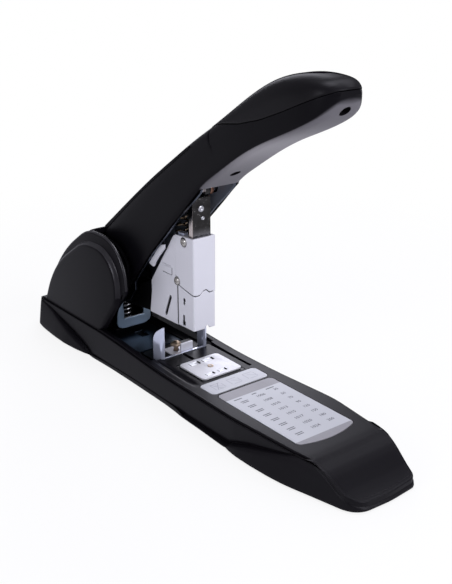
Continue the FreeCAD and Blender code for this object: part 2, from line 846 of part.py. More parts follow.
def head_screws():
    outside = arm_half + arm_sheet
    screws = []
    for x, z in ((-7.1, 95.2), (-14.4, 69.2)):
        head = pin_y(x, z, head_screw, outside, outside + head_screw_rise)
        shank = pin_y(x, z, 2.5, arm_half + 0.05, outside)
        screw = head.fuse(shank).removeSplitter()
        screws += [screw, mirrored(screw)]
    return Part.Compound(screws)


def staple_rail():
    """Inverted channel that carries the staples, closed by a web at each end."""
    front = -6.2
    rear = head_rear_x + 1.5
    low = head_bottom_z + arm_sheet
    body = block(rear, front, -rail_half, rail_half, low, rail_top_z)
    room = block(rear + rail_wall, front - rail_wall, -rail_half + rail_wall, rail_half - rail_wall,
                 low - 1, rail_top_z - rail_wall)
    slot = block(rear + 2.4, front - 2.4, -rail_slot / 2, rail_slot / 2, low, top_shift * 2)
    lower_rear = across(side_face([(rear - 1, 40), (rear - 1, 75), (rear + 9, 75), (rear, 56)]), -50, 50)
    bore = pin_x(rear - 5, 0, rod_z, rod_diameter + 0.1, front + 1)
    return body.cut([room, slot, bore, lower_rear])


def pusher_rod():
    return pin_x(head_rear_x + 1.6, 0, rod_z, rod_diameter, -6.3)


def pusher():
    """Saddle that rides over the rail and is guided by the rod inside it."""
    front = -9.6
    rear = front - pusher_length
    top = block(rear, front, -rail_half - 0.7, rail_half + 0.7, rail_top_z + 0.15, rail_top_z + 2)
    leg = block(rear, front, rail_half + 0.1, rail_half + 0.7, rail_top_z - 14, rail_top_z + 2)
    neck = block(rear, front, -rail_slot / 2 + 0.1, rail_slot / 2 - 0.1, rod_z, rail_top_z + 1)
    core = block(rear, front, -3.2, 3.2, rod_z - 3.2, rod_z + 3.2)
    body = top.fuse([leg, mirrored(leg), neck, core]).removeSplitter()
    return body.cut(pin_x(rear - 1, 0, rod_z, rod_diameter + 2 * fit, front + 1))


def spring_seat():
    """Bent bracket on top of the head that guides the driver's return spring."""
    inner = arm_half - arm_sheet - 0.1
    plate = block(-24.6, -9.4, -inner, inner, driver_spring_foot - 1.2, driver_spring_foot)
    leaf = block(-10.6, -9.4, -inner, inner, driver_spring_foot - 1.2, head_top_z - 1)
    hood = block(-15.0, -9.4, -inner, inner, head_top_z - 1.4, head_top_z + 0.6)
    gate = block(-30, 0, -lug_half - 0.4, lug_half + 0.4, head_top_z - 12, top_shift * 2)
    return plate.fuse([leaf, hood]).removeSplitter().cut(gate)


def driver_spring():
    return coil(driver_spring_x, 0, driver_spring_foot + 0.1, driver_spring_top - 0.2,
                driver_spring_radius, driver_spring_wire, 11)


# driver

def driver_blade():
    blade = block(-blade_thick, 0, -blade_half, blade_half, blade_bottom_z, driver_pin_z - eye_diameter / 2 - 0.1)
    return blade.cut(rivet_holes())


def driver_backing():
    """Second leaf behind the blade: two eyes for the pin above, and a lug on the return spring."""
    rear = -blade_thick - backing_thick
    side = blade_half - 0.3
    leaf = block(rear, -blade_thick, -side, side, blade_bottom_z + 8, driver_pin_z)
    leaf = leaf.cut(block(-20, 10, -eye_gap, eye_gap, driver_pin_z - eye_diameter / 2, top_shift * 3))
    eye = pin_y(driver_pin_x(), driver_pin_z, eye_diameter, eye_gap, side)
    lug = block(driver_spring_x - 4.5, rear + 1, -lug_half, lug_half, driver_spring_top, driver_spring_top + 1.6)
    bore = pin_y(driver_pin_x(), driver_pin_z, driver_pin_diameter + 0.1, -50, 50)
    return leaf.fuse([eye, mirrored(eye), lug]).removeSplitter().cut([bore] + rivet_holes())


def rivet_holes():
    reach = 10 + blade_thick + backing_thick
    return [pin_x(-reach, -0.5, 115.7, 3.1, 5), pin_x(-reach, 0.6, 109.9, 2.1, 5)]


def driver_pin_x():
    return -blade_thick - backing_thick / 2


def driver_rivets():
    rear = -blade_thick - backing_thick
    large = pin_x(rear, -0.5, 115.7, 3.0, 0.1).fuse(pin_x(0, -0.5, 115.7, 5.0, 0.9))
    small = pin_x(rear, 0.6, 109.9, 2.0, 0.1).fuse(pin_x(0, 0.6, 109.9, 2.8, 0.5))
    return Part.Compound([large.removeSplitter(), small.removeSplitter()])


def driver_pin():
    return pin_y(driver_pin_x(), driver_pin_z, driver_pin_diameter, -channel_half + 0.2, channel_half - 0.2)


def pin_clips():
    ring = pin_y(driver_pin_x(), driver_pin_z, driver_pin_diameter + 2.6, blade_half + 0.1, blade_half + 2.2)
    ring = ring.cut(pin_y(driver_pin_x(), driver_pin_z, driver_pin_diameter + 0.1, 0, 50))
    return pair(ring)


# lever

def lever_inside():
    """Room inside the lever moulding, open below and behind."""
    face = side_face([
        (-110.0, 20.0),
        (-110.0, 56.0),
        (-97.2, 56.0),
        (-97.2, 67.0),
        (-90.0, 75.2),
        (-83.4, 78.8),
        (-81.3, 87.2, 3),
        (12.0, 157.0),
        (30.0, 165.6),
        (60.0, 172.9),
        (60.0, 165.6),
        (36.0, 150.4),
        (20.4, 137.2),
        (16.6, 128.0),
        (16.6, 20.0),
    ])
    return across(face, -lever_half + lever_wall, lever_half - lever_wall)


def lever_shell():
    shell = lever_body().cut(across(seam_face(seam_gap), -50, 50))
    holes = [
        pin_y(lever_pivot[0], lever_pivot[1], shaft_diameter + 2 * fit, -50, 50),
        grip_screw_bar(0, 6.4, -4, 2.4),
        grip_screw_bar(0, 3.2, -4, 20),
        grip_screw_bar(1, 6.4, -6, 2.6),
        grip_screw_bar(1, 3.2, -4, 8.5),
    ]
    return largest(shell.cut([lever_inside()] + holes))


def grip_insert():
    insert = lever_body().common(across(seam_face(0), -50, 50))
    return largest(insert.cut(grip_screw_bar(1, 2.7, 0, 12.2)))


def grip_screw_bar(index, diameter, start, end):
    """Round bar along one of the two screws that enter the lever from below."""
    foot, lean = (((31.2, 142.7), 37.0), ((110.4, 187.2), 30.0))[index]
    way = FreeCAD.Vector(-math.sin(math.radians(lean)), 0, math.cos(math.radians(lean)))
    base = FreeCAD.Vector(foot[0], 0, foot[1]) + way * start
    return Part.makeCylinder(diameter / 2, end - start, base, way)


def lever_screws():
    first = grip_screw_bar(0, 5.8, 0.6, 2.3).fuse(grip_screw_bar(0, 3.0, 2.0, 5.6))
    second = grip_screw_bar(1, 5.8, 0.8, 2.5).fuse(grip_screw_bar(1, 2.6, 2.0, 12.0))
    return Part.Compound([first.removeSplitter(), second.removeSplitter()])


def lever_channel():
    """Steel channel inside the lever: two walls joined along the top, with the slot for the driver pin."""
    inner = channel_half - channel_sheet
    walls = across(channel_face(), -channel_half, channel_half)
    shifted = channel_face()
    shifted.translate(FreeCAD.Vector(0.9, 0, -1.2))
    room = across(shifted, -inner, inner)
    low = across(channel_face(), -inner, inner).common(block(-200, -84, -50, 50, 0, 62))
    opening = across(side_face([(-70, 0), (-60, 46), (13, 127), (18, 138), (60, 166), (62, 0)]), -inner, inner)
    web = across(side_face([(25.0, 143.9), (37.0, 152.9), (36.1, 154.0), (24.1, 145.0)]), -inner, inner)
    slot = slot_bar(slot_start(), slot_end(), pin_slot, -50, 50)
    shaft = pin_y(lever_pivot[0], lever_pivot[1], tube_diameter + 0.1, -50, 50)
    body = walls.cut([room, low, opening]).fuse(web).cut([slot, shaft, grip_screw_bar(0, 3.1, 0, 12)])
    return largest(body)


def slot_start():
    return (driver_pin_x() + 0.5, driver_pin_z + 0.4)


def slot_end():
    return (driver_pin_x() - 13.9, driver_pin_z - 4.2)


def lever_tube():
    length = channel_half
    tube = pin_y(lever_pivot[0], lever_pivot[1], tube_diameter, -length, length)
    return tube.cut(pin_y(lever_pivot[0], lever_pivot[1], shaft_diameter + 2 * fit, -50, 50))


def catch_straps():
    """Bright straps on the inner faces of the channel, showing below its edge."""
    outer = channel_half - channel_sheet
    strap = across(side_face([
        (-41.8, 76.8), (-39.7, 73.6), (-35.4, 72.7, 1), (-30.7, 80.5, 3), (-23.0, 87.6),
        (-22.6, 93.5, 1), (-29.0, 94.5, 1),
    ]), outer - 1.3, outer)
    return pair(strap)


os.makedirs("parts", exist_ok=True)

nodes = {
    "base_shell": base_shell(),
    "base_chassis": base_chassis(),
    "floor_plate": floor_plate(),
    "base_screws": base_screws(),
    "rubber_feet": rubber_feet(),
    "upright_left": hub_upright(),
    "upright_right": mirrored(hub_upright()),
    "hub_cover_left": hub_cover(),
    "hub_cover_right": mirrored(hub_cover()),
    "hub_dome": hub_dome(),
    "lever_shaft": lever_shaft(),
    "magazine_shaft": magazine_shaft(),
    "spring_cradle": spring_cradle(),
    "lift_spring": lift_spring(),
    "anvil_carrier": anvil_carrier(),
    "anvil_plate": anvil_plate(),
    "anvil_rivet": anvil_rivet(),
    "strip_plate": upward(strip_face(0), deck_z - plate_recess, deck_z - plate_recess + plate_thick),
    "table_plate": upward(table_face(0), deck_z - plate_recess, deck_z - plate_recess + plate_thick),
    "paper_stop": paper_stop(),
    "stop_bracket": stop_bracket(),
    "stop_screw": stop_screw(),
    "lever_shell": lever_shell(),
    "grip_insert": grip_insert(),
    "lever_channel": lever_channel(),
    "lever_screws": lever_screws(),
    "lever_tube": lever_tube(),
    "catch_straps": catch_straps(),
    "magazine_frame": magazine_frame(),
    "magazine_bush": magazine_bush(),
    "head_housing": head_housing(),
    "front_cover": front_cover(),
    "side_plate_left": side_plate(),
    "side_plate_right": mirrored(side_plate()),
    "head_screws": head_screws(),
    "staple_rail": staple_rail(),
    "pusher_rod": pusher_rod(),
    "pusher": pusher(),
    "spring_seat": spring_seat(),
    "driver_spring": driver_spring(),
    "driver_blade": driver_blade(),
    "driver_backing": driver_backing(),
    "driver_rivets": driver_rivets(),
    "driver_pin": driver_pin(),
    "pin_clips": pin_clips(),
}

for node, shape in nodes.items():
    save(node, shape)
    print(node, len(shape.Solids), shape.isValid(), round(shape.Volume))
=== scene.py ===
import json
import math
import bmesh
import bpy
import numpy as np
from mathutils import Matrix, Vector


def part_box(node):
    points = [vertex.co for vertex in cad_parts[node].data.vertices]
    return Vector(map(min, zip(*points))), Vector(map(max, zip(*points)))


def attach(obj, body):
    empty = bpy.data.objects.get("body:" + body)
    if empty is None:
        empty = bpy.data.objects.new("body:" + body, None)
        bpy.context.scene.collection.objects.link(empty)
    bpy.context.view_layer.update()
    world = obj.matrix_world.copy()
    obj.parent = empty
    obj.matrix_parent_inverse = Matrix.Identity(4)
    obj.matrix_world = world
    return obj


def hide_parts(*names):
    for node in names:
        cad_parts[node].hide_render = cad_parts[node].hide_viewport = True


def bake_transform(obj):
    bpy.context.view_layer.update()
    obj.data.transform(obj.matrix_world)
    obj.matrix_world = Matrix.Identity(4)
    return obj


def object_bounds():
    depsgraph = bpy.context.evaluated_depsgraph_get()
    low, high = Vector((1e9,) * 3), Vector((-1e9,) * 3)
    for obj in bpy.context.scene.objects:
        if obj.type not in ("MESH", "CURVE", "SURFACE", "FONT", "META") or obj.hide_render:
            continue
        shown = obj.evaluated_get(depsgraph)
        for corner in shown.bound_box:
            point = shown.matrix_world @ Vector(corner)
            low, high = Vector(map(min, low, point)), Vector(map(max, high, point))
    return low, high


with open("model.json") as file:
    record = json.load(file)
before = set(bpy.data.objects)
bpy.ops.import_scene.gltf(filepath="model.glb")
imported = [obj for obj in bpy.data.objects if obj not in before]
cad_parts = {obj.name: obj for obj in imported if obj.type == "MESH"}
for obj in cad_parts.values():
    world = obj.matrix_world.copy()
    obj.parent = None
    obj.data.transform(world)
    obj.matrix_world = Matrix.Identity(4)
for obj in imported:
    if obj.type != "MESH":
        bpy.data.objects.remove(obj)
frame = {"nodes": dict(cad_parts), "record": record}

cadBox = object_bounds()
nodes = frame["nodes"]
print("frame loaded:", len(nodes), "nodes")

view = {
    "place": (0.4275, -0.3162, 0.2686),
    "back": (0.7357, -0.5748, 0.3584),   # from the object to the camera
    "lens": 59.24,
}
studio = {
    "floorShadow": 0.16,      # share of the floor that takes light and shade near the object
    "floorReflected": 0.64,   # how bright the floor is in reflections
    "shadeRings": (0.20, 0.50), "ownShade": (("X", 0.136), ("Y", 0.024)), "reach": 6.0, "below": 0.0002,
    "world": (0.42, 0.30),    # light on the object, and in reflections
    "cast": (0.90, 0.90, 1.0),
    # place, aim, size and power
    "lamps": {
        "topSoftbox": ((0.05, 0.10, 1.10), (0.0, 0.0, 0.05), 0.5, 4.9),
        "toeSoftbox": ((-0.12, 0.70, 0.98), (0.13, -0.01, 0.01), 0.4, 1.1),
        "frontSoftbox": ((1.05, 0.25, 0.55), (0.0, 0.0, 0.08), 0.8, 8.5),
        "sideSoftbox": ((0.15, -1.10, 0.45), (0.0, 0.0, 0.06), 0.5, 3.0),
        "rearSoftbox": ((-1.05, 0.72, 0.50), (-0.05, 0.0, 0.08), 0.6, 4.2),
    },
}


def newObject(name, data):
    piece = bpy.data.objects.new(name, data)
    bpy.context.scene.collection.objects.link(piece)
    return piece


def addNode(tree, kind, inputs=None, **settings):
    # a socket among the inputs is linked, any other value is set
    node = tree.nodes.new("ShaderNode" + kind)
    for key, value in settings.items():
        setattr(node, key, value)
    for key, value in (inputs or {}).items():
        if isinstance(value, bpy.types.NodeSocket):
            tree.links.new(value, node.inputs[key])
        else:
            node.inputs[key].default_value = value
    return node


def maths(tree, operation, first, second=0.5, **settings):
    return addNode(tree, "Math", {0: first, 1: second}, operation=operation, **settings).outputs[0]


def between(tree, value, places, levels=(0.0, 1.0), way="LINEAR"):
    # the value between two places becomes a value between two levels
    ends = {"From Min": places[0], "From Max": places[1], "To Min": levels[0], "To Max": levels[1]}
    return addNode(tree, "MapRange", {"Value": value, **ends}, interpolation_type=way).outputs[0]


def placeOf(tree, kind="Object"):
    return addNode(tree, "TexCoord").outputs[kind]


def axisOf(tree, axis, kind="Object"):
    return addNode(tree, "SeparateXYZ", {0: placeOf(tree, kind)}).outputs[axis]


def noiseOf(tree, place, scale, detail, rough=0.5):
    look = {"Vector": place, "Scale": scale, "Detail": detail, "Roughness": rough}
    return addNode(tree, "TexNoise", look).outputs["Fac"]


def mixColour(tree, share, first, second):
    node = addNode(tree, "Mix", data_type="RGBA")
    for index, value in ((0, share), (6, first), (7, second)):
        if isinstance(value, bpy.types.NodeSocket):
            tree.links.new(value, node.inputs[index])
        else:
            node.inputs[index].default_value = value if index == 0 else (*value, 1)
    return node.outputs[2]


def emptyTree(owner):
    owner.use_nodes = True
    owner.node_tree.nodes.clear()
    return owner.node_tree


def raysOf(tree):
    # the rays, and those that come from the camera straight or through glass
    rays = addNode(tree, "LightPath").outputs
    return rays, maths(tree, "MAXIMUM", rays["Is Camera Ray"], rays["Is Transmission Ray"])


def paleMaterial():
    # a diffuse floor for light and shadow; towards the camera it is mixed with plain white, wholly so far out
    material = bpy.data.materials.new("paleFloor")
    tree = emptyTree(material)
    rays, seen = raysOf(tree)
    far = addNode(tree, "VectorMath", {0: placeOf(tree)}, operation="LENGTH").outputs["Value"]
    share = between(tree, far, studio["shadeRings"], (1.0 - studio["floorShadow"], 1.0))
    seen = maths(tree, "MULTIPLY", seen, share)
    # straight below the base the floor only shows its own shade, as it is seen through the openings
    beyond = [maths(tree, "GREATER_THAN", maths(tree, "ABSOLUTE", axisOf(tree, axis)), reach)
              for axis, reach in studio["ownShade"]]
    seen = maths(tree, "MULTIPLY", seen, maths(tree, "MAXIMUM", *beyond))
    matt = addNode(tree, "BsdfDiffuse", {"Color": (0.86, 0.86, 0.86, 1)}).outputs[0]
    white = addNode(tree, "Emission", {"Color": (1, 1, 1, 1), "Strength": 1.0}).outputs[0]
    pale = addNode(tree, "Emission", {"Color": (*studio["cast"], 1), "Strength": studio["floorReflected"]}).outputs[0]
    mix = addNode(tree, "MixShader", {0: seen, 1: matt, 2: white}).outputs[0]
    mix = addNode(tree, "MixShader", {0: rays["Is Glossy Ray"], 1: mix, 2: pale}).outputs[0]
    addNode(tree, "OutputMaterial", {"Surface": mix})
    return material


def buildStage():
    cameraData = bpy.data.cameras.new("photoCamera")
    cameraData.lens = view["lens"]
    cameraData.sensor_width = 36.0
    cameraData.clip_start = 0.01
    camera = newObject("photoCamera", cameraData)
    camera.location = view["place"]
    camera.rotation_euler = (-Vector(view["back"])).to_track_quat("-Z", "Y").to_euler()
    bpy.context.scene.camera = camera
    bpy.context.scene.view_settings.view_transform = "Standard"

    reach = studio["reach"]
    mesh = bpy.data.meshes.new("floor")
    mesh.from_pydata([(-reach, -reach, 0), (reach, -reach, 0), (reach, reach, 0), (-reach, reach, 0)], [],
                     [(0, 1, 2, 3)])
    mesh.materials.append(paleMaterial())
    floor = newObject("floor", mesh)
    floor.location.z = cadBox[0][2] - studio["below"]

    world = bpy.data.worlds.new("studio")
    bpy.context.scene.world = world
    tree = emptyTree(world)
    rays, seen = raysOf(tree)
    power = between(tree, rays["Is Glossy Ray"], (0.0, 1.0), studio["world"])
    plain = addNode(tree, "Background", {"Color": (*studio["cast"], 1), "Strength": power}).outputs[0]
    white = addNode(tree, "Background", {"Color": (1, 1, 1, 1), "Strength": 1.0}).outputs[0]
    mix = addNode(tree, "MixShader", {0: seen, 1: plain, 2: white}).outputs[0]
    addNode(tree, "OutputWorld", {"Surface": mix})

    for name, (place, aim, size, power) in studio["lamps"].items():
        data = bpy.data.lights.new(name, "AREA")
        data.size = size
        data.energy = power
        data.color = studio["cast"]
        lamp = newObject(name, data)
        lamp.location = place
        lamp.rotation_euler = (Vector(aim) - Vector(place)).to_track_quat("-Z", "Y").to_euler()


buildStage()
print("stage built")


def newGroup(name, inputs, outputs):
    # a node group that several finishes share, with its named inputs and outputs
    group = bpy.data.node_groups.new(name, "ShaderNodeTree")
    for label, value in inputs.items():
        kind = "NodeSocketVector" if isinstance(value, tuple) else "NodeSocketFloat"
        group.interface.new_socket(name=label, in_out="INPUT", socket_type=kind).default_value = value
    for label in outputs:
        kind = "NodeSocketVector" if label == "Normal" else "NodeSocketFloat"
        group.interface.new_socket(name=label, in_out="OUTPUT", socket_type=kind)
    return group, group.nodes.new("NodeGroupInput").outputs, group.nodes.new("NodeGroupOutput").inputs


def buildEdgeWearAndHighlight():
    # where the rounded normal leaves the true normal there is an edge; noise breaks the mask up. The mask paints the
    # edges paler, as wear and as a painted highlight
    group, given, result = newGroup("edgeWearAndHighlight", {"Radius": 0.0004, "Gain": 3.0, "Breakup": 0.5}, ["Mask", "Normal"])
    rounded = addNode(group, "Bevel", {"Radius": given["Radius"]}, samples=4).outputs["Normal"]
    true = addNode(group, "NewGeometry").outputs["Normal"]
    dot = addNode(group, "VectorMath", {0: rounded, 1: true}, operation="DOT_PRODUCT").outputs["Value"]
    gain = maths(group, "MULTIPLY", maths(group, "SUBTRACT", 1.0, dot), given["Gain"])
    less = maths(group, "MULTIPLY", noiseOf(group, placeOf(group), 420.0, 4.0), given["Breakup"])
    group.links.new(maths(group, "SUBTRACT", gain, less, use_clamp=True), result["Mask"])
    group.links.new(rounded, result["Normal"])
    return group


def buildMouldGrain():
    # fine spark-eroded texture of a moulding, with slow cloudy changes of gloss
    group, given, result = newGroup("mouldGrain", {"Scale": 1800.0, "Cloud": 14.0}, ["Height", "Shade"])
    place = placeOf(group)
    fine = noiseOf(group, place, given["Scale"], 3.0, 0.6)
    cells = addNode(group, "TexVoronoi", {"Vector": place, "Scale": given["Scale"]}).outputs["Distance"]
    group.links.new(maths(group, "ADD", fine, cells), result["Height"])
    group.links.new(noiseOf(group, place, given["Cloud"], 2.0), result["Shade"])
    return group


def buildBrushing():
    # long thin scratches along one axis: noise stretched by the given vector
    group, given, result = newGroup("brushing", {"Stretch": (60.0, 3000.0, 3000.0), "Cloud": 40.0},
                                    ["Height", "Shade"])
    place = placeOf(group)
    pulled = addNode(group, "VectorMath", {0: place, 1: given["Stretch"]}, operation="MULTIPLY").outputs[0]
    group.links.new(noiseOf(group, pulled, 1.0, 3.0), result["Height"])
    group.links.new(noiseOf(group, place, given["Cloud"], 3.0), result["Shade"])
    return group


groups = {"edgeWearAndHighlight": buildEdgeWearAndHighlight(), "mouldGrain": buildMouldGrain(), "brushing": buildBrushing()}
finishes = {}


def placeGroup(tree, name, **inputs):
    node = addNode(tree, "Group", node_tree=groups[name])
    for key, value in inputs.items():
        node.inputs[key].default_value = value
    return node.outputs


def newFinish(name):
    material = bpy.data.materials.new(name)
    material.use_nodes = True
    finishes[name] = material
    return material.node_tree, material.node_tree.nodes["Principled BSDF"].inputs


def surfaceFinish(name, group, inputs, depth, look):
    # a pattern gives cloudy colour, gloss and fine relief, and the edges are painted paler, as wear and as a painted
    # highlight
    colour, deep, wornHighlightColour, rough, relief, edge, wornHighlightGain = look
    tree, shader = newFinish(name)
    pattern = placeGroup(tree, group, **inputs)
    wornHighlight = placeGroup(tree, "edgeWearAndHighlight", Radius=edge, Gain=wornHighlightGain)
    body = mixColour(tree, pattern["Shade"], deep, colour)
    tree.links.new(mixColour(tree, wornHighlight["Mask"], body, wornHighlightColour), shader["Base Color"])
    tree.links.new(between(tree, pattern["Shade"], (0.0, 1.0), rough), shader["Roughness"])
    bump = addNode(tree, "Bump", {"Height": pattern["Height"], "Strength": relief, "Distance": depth,
                                  "Normal": wornHighlight["Normal"]})
    tree.links.new(bump.outputs[0], shader["Normal"])
    return shader


# colour, deep colour, pale edge colour (wear and painted highlight), roughness, strength of the relief, radius and gain
# of the pale edges
mouldings = {
    # and then the scale of the grain and the gloss
    "blackMoulding": ((0.0042, 0.0037, 0.0052), (0.003, 0.0027, 0.0038), (0.016, 0.014, 0.017), (0.34, 0.44),
                      0.2, 0.0005, 1.2, 2200.0, 0.08),
    "gripMoulding": ((0.005, 0.0042, 0.0058), (0.0036, 0.0032, 0.0042), (0.022, 0.019, 0.023), (0.34, 0.44),
                     0.25, 0.0004, 1.0, 2600.0, 0.15),
    "baseMoulding": ((0.0045, 0.0038, 0.0055), (0.0032, 0.0028, 0.0042), (0.024, 0.020, 0.026), (0.32, 0.42),
                     0.22, 0.0005, 1.2, 2200.0, 0.13),
    "hubMoulding": ((0.0045, 0.0038, 0.0055), (0.0032, 0.0028, 0.0042), (0.024, 0.020, 0.026), (0.32, 0.42),
                    0.22, 0.0005, 1.2, 2200.0, 0.13),
    # a darker, duller copy of the moulding that paints the shade in the gaps of the hub
    "deepMoulding": ((0.0016, 0.0014, 0.0020), (0.001, 0.001, 0.0013), (0.006, 0.005, 0.007), (0.45, 0.55),
                     0.2, 0.0004, 1.0, 2200.0, 0.03),
    # a paler, glossier copy of the moulding that paints the highlight on the hub covers' rounded step and rim
    "shoulderMoulding": ((0.012, 0.0105, 0.014), (0.008, 0.0072, 0.0095), (0.03, 0.026, 0.033), (0.26, 0.34),
                         0.2, 0.0004, 1.0, 2200.0, 0.6),
    "rubberPad": ((0.014, 0.014, 0.014), (0.01, 0.01, 0.01), (0.04, 0.04, 0.04), (0.75, 0.9),
                  0.6, 0.0004, 1.0, 900.0, 0.3),
    "blackSteel": ((0.0028, 0.0026, 0.0032), (0.0016, 0.0016, 0.002), (0.05, 0.05, 0.055), (0.28, 0.42),
                   0.15, 0.00015, 2.0, 1500.0, 0.1),
    "blackCasting": ((0.010, 0.010, 0.011), (0.006, 0.006, 0.007), (0.09, 0.09, 0.10), (0.35, 0.5),
                     0.6, 0.0002, 2.0, 700.0, 0.5),
}
metals = {
    # and then the stretch and cloud of the brushing and how metallic it is
    "bluedSteel": ((0.055, 0.075, 0.10), (0.018, 0.024, 0.034), (0.20, 0.24, 0.28), (0.26, 0.42),
                   0.05, 0.0002, 2.0, (60, 900, 900), 30.0, 1.0),
    "blueGreySteel": ((0.38, 0.49, 0.60), (0.26, 0.35, 0.45), (0.95, 0.97, 1.0), (0.30, 0.42),
                      0.12, 0.0004, 5.0, (300, 900, 900), 80.0, 0.75),
    "brightSteel": ((0.62, 0.62, 0.64), (0.48, 0.48, 0.50), (0.85, 0.85, 0.86), (0.18, 0.32),
                    0.15, 0.0002, 2.5, (120, 2400, 2400), 90.0, 1.0),
    "springWire": ((0.66, 0.66, 0.66), (0.45, 0.45, 0.46), (0.8, 0.8, 0.8), (0.16, 0.3),
                   0.1, 0.0001, 1.0, (900, 900, 200), 200.0, 1.0),
    "bronzeWire": ((0.52, 0.40, 0.26), (0.34, 0.25, 0.16), (0.8, 0.7, 0.5), (0.16, 0.3),
                   0.1, 0.0001, 1.0, (900, 900, 200), 200.0, 1.0),
    "satinNickel": ((0.74, 0.74, 0.76), (0.64, 0.64, 0.66), (0.95, 0.95, 0.96), (0.42, 0.55),
                    0.3, 0.0003, 4.0, (900, 120, 900), 160.0, 0.6),
    "nickelPlate": ((0.82, 0.82, 0.86), (0.77, 0.77, 0.81), (0.97, 0.97, 0.99), (0.48, 0.56),
                    0.10, 0.00035, 3.0, (900, 900, 70), 45.0, 0.55),
    "polishedSteel": ((0.075, 0.072, 0.07), (0.02, 0.019, 0.018), (0.85, 0.82, 0.79), (0.12, 0.34),
                      0.2, 0.0002, 3.0, (500, 500, 90), 260.0, 1.0),
    "chromePlate": ((0.62, 0.66, 0.78), (0.5, 0.54, 0.66), (0.95, 0.95, 0.97), (0.14, 0.28),
                    0.04, 0.0003, 3.0, (300, 300, 80), 60.0, 1.0),
    "zincScrews": ((0.72, 0.70, 0.66), (0.42, 0.40, 0.37), (0.95, 0.93, 0.9), (0.12, 0.26),
                   0.1, 0.0002, 3.0, (700, 700, 700), 700.0, 1.0),
    "earPlate": ((0.80, 0.84, 0.98), (0.62, 0.67, 0.83), (1.0, 1.0, 1.0), (0.12, 0.2),
                 0.08, 0.0004, 5.0, (300, 300, 80), 90.0, 0.68),
    "channelSteel": ((0.10, 0.12, 0.16), (0.05, 0.06, 0.085), (0.6, 0.62, 0.66), (0.25, 0.4),
                     0.15, 0.0002, 4.0, (200, 900, 200), 40.0, 1.0),
    "channelInner": ((0.20, 0.22, 0.26), (0.13, 0.145, 0.175), (0.6, 0.62, 0.66), (0.3, 0.42),
                     0.15, 0.0002, 4.0, (200, 900, 200), 40.0, 0.3),
    # steels that paint shade and highlight: in the anvil's grooves, and white on the cradle's top edge
    "clinchDark": ((0.10, 0.10, 0.11), (0.03, 0.03, 0.035), (0.5, 0.5, 0.5), (0.2, 0.3),
                   0.2, 0.0001, 2.0, (900, 200, 900), 500.0, 1.0),
    "clinchBright": ((1.0, 1.0, 1.0), (0.86, 0.88, 0.92), (1.0, 1.0, 1.0), (0.3, 0.4),
                     0.1, 0.0001, 1.0, (900, 200, 900), 300.0, 0.5),
    "brassScrew": ((0.66, 0.52, 0.38), (0.5, 0.38, 0.27), (0.9, 0.78, 0.6), (0.3, 0.42),
                   0.1, 0.0003, 2.0, (700, 700, 700), 200.0, 1.0),
    "copperRings": ((0.66, 0.36, 0.24), (0.5, 0.26, 0.17), (0.9, 0.6, 0.45), (0.2, 0.35),
                    0.1, 0.0002, 2.0, (700, 700, 700), 200.0, 1.0),
}
for name, (*look, grain, gloss) in mouldings.items():
    surfaceFinish(name, "mouldGrain", {"Scale": grain}, 0.00003, look)["Specular IOR Level"].default_value = gloss
for name, (*look, stretch, cloud, metallic) in metals.items():
    shader = surfaceFinish(name, "brushing", {"Stretch": stretch, "Cloud": cloud}, 0.00002, look)
    shader["Metallic"].default_value = metallic


def treeOf(name):
    tree = finishes[name].node_tree
    return tree, tree.nodes["Principled BSDF"].inputs


# a painted reflection under the grip: which way it faces, its soft edge, where it starts, its colours and the middle
# and reach of its fade
underside = {
    "facing": (0.55, 0.0, -0.83), "soft": (0.55, 0.9), "from": 0.013, "colour": (0.26, 0.25, 0.26),
    "dimReflection": (0.13, 0.125, 0.135), "middle": 0.066, "reach": 0.040,
}


def paintUndersideReflection():
    # below the grip a painted reflection of the pale floor turns the moulding satin grey, where the surface looks down
    # and forward
    tree, shader = treeOf("blackMoulding")
    facing = addNode(tree, "VectorMath", {0: placeOf(tree, "Normal"), 1: underside["facing"]},
                     operation="DOT_PRODUCT").outputs["Value"]
    turned = between(tree, facing, underside["soft"], way="SMOOTHSTEP")
    x = axisOf(tree, "X")
    mask = maths(tree, "MULTIPLY", turned, maths(tree, "GREATER_THAN", x, underside["from"]))
    # the painted reflection is brightest under the middle of the grip
    offset = maths(tree, "ABSOLUTE", maths(tree, "SUBTRACT", x, underside["middle"]))
    fade = between(tree, offset, (0.0, underside["reach"]), way="SMOOTHSTEP")
    paintedReflection = mixColour(tree, fade, underside["colour"], underside["dimReflection"])
    before = shader["Base Color"].links[0].from_socket
    tree.links.new(mixColour(tree, mask, before, paintedReflection), shader["Base Color"])


def glossAlong(name, axis, places, levels):
    # the gloss of a moulding changes evenly between two places along an axis
    tree, shader = treeOf(name)
    tree.links.new(between(tree, axisOf(tree, axis), places, levels), shader["Specular IOR Level"])


def glossAway(name, turns, levels):
    # the gloss of a moulding dies away where the surface turns away from the eye
    tree, shader = treeOf(name)
    away = addNode(tree, "LayerWeight", {"Blend": 0.5}).outputs["Facing"]
    tree.links.new(between(tree, away, turns, levels), shader["Specular IOR Level"])


paintUndersideReflection()
glossAlong("hubMoulding", "X", (-0.135, -0.065), (0.14, 0.065))
glossAlong("baseMoulding", "X", (-0.15, 0.15), (0.07, 0.165))
glossAlong("shoulderMoulding", "Z", (0.044, 0.074), (0.06, 0.62))
glossAway("gripMoulding", (0.45, 0.85), (0.16, 0.0))

labelLook = {
    "paper": (0.465, 0.475, 0.50), "band": (0.235, 0.23, 0.245), "fibre": (0.7, 0.7, 0.74),
    "inks": {"labelInk": (0.035, 0.035, 0.05), "labelSketch": (0.24, 0.24, 0.29)},
    "headBand": (0.0380, 0.0485), "footBand": 0.1070,      # X of the grey bands, in metres
}


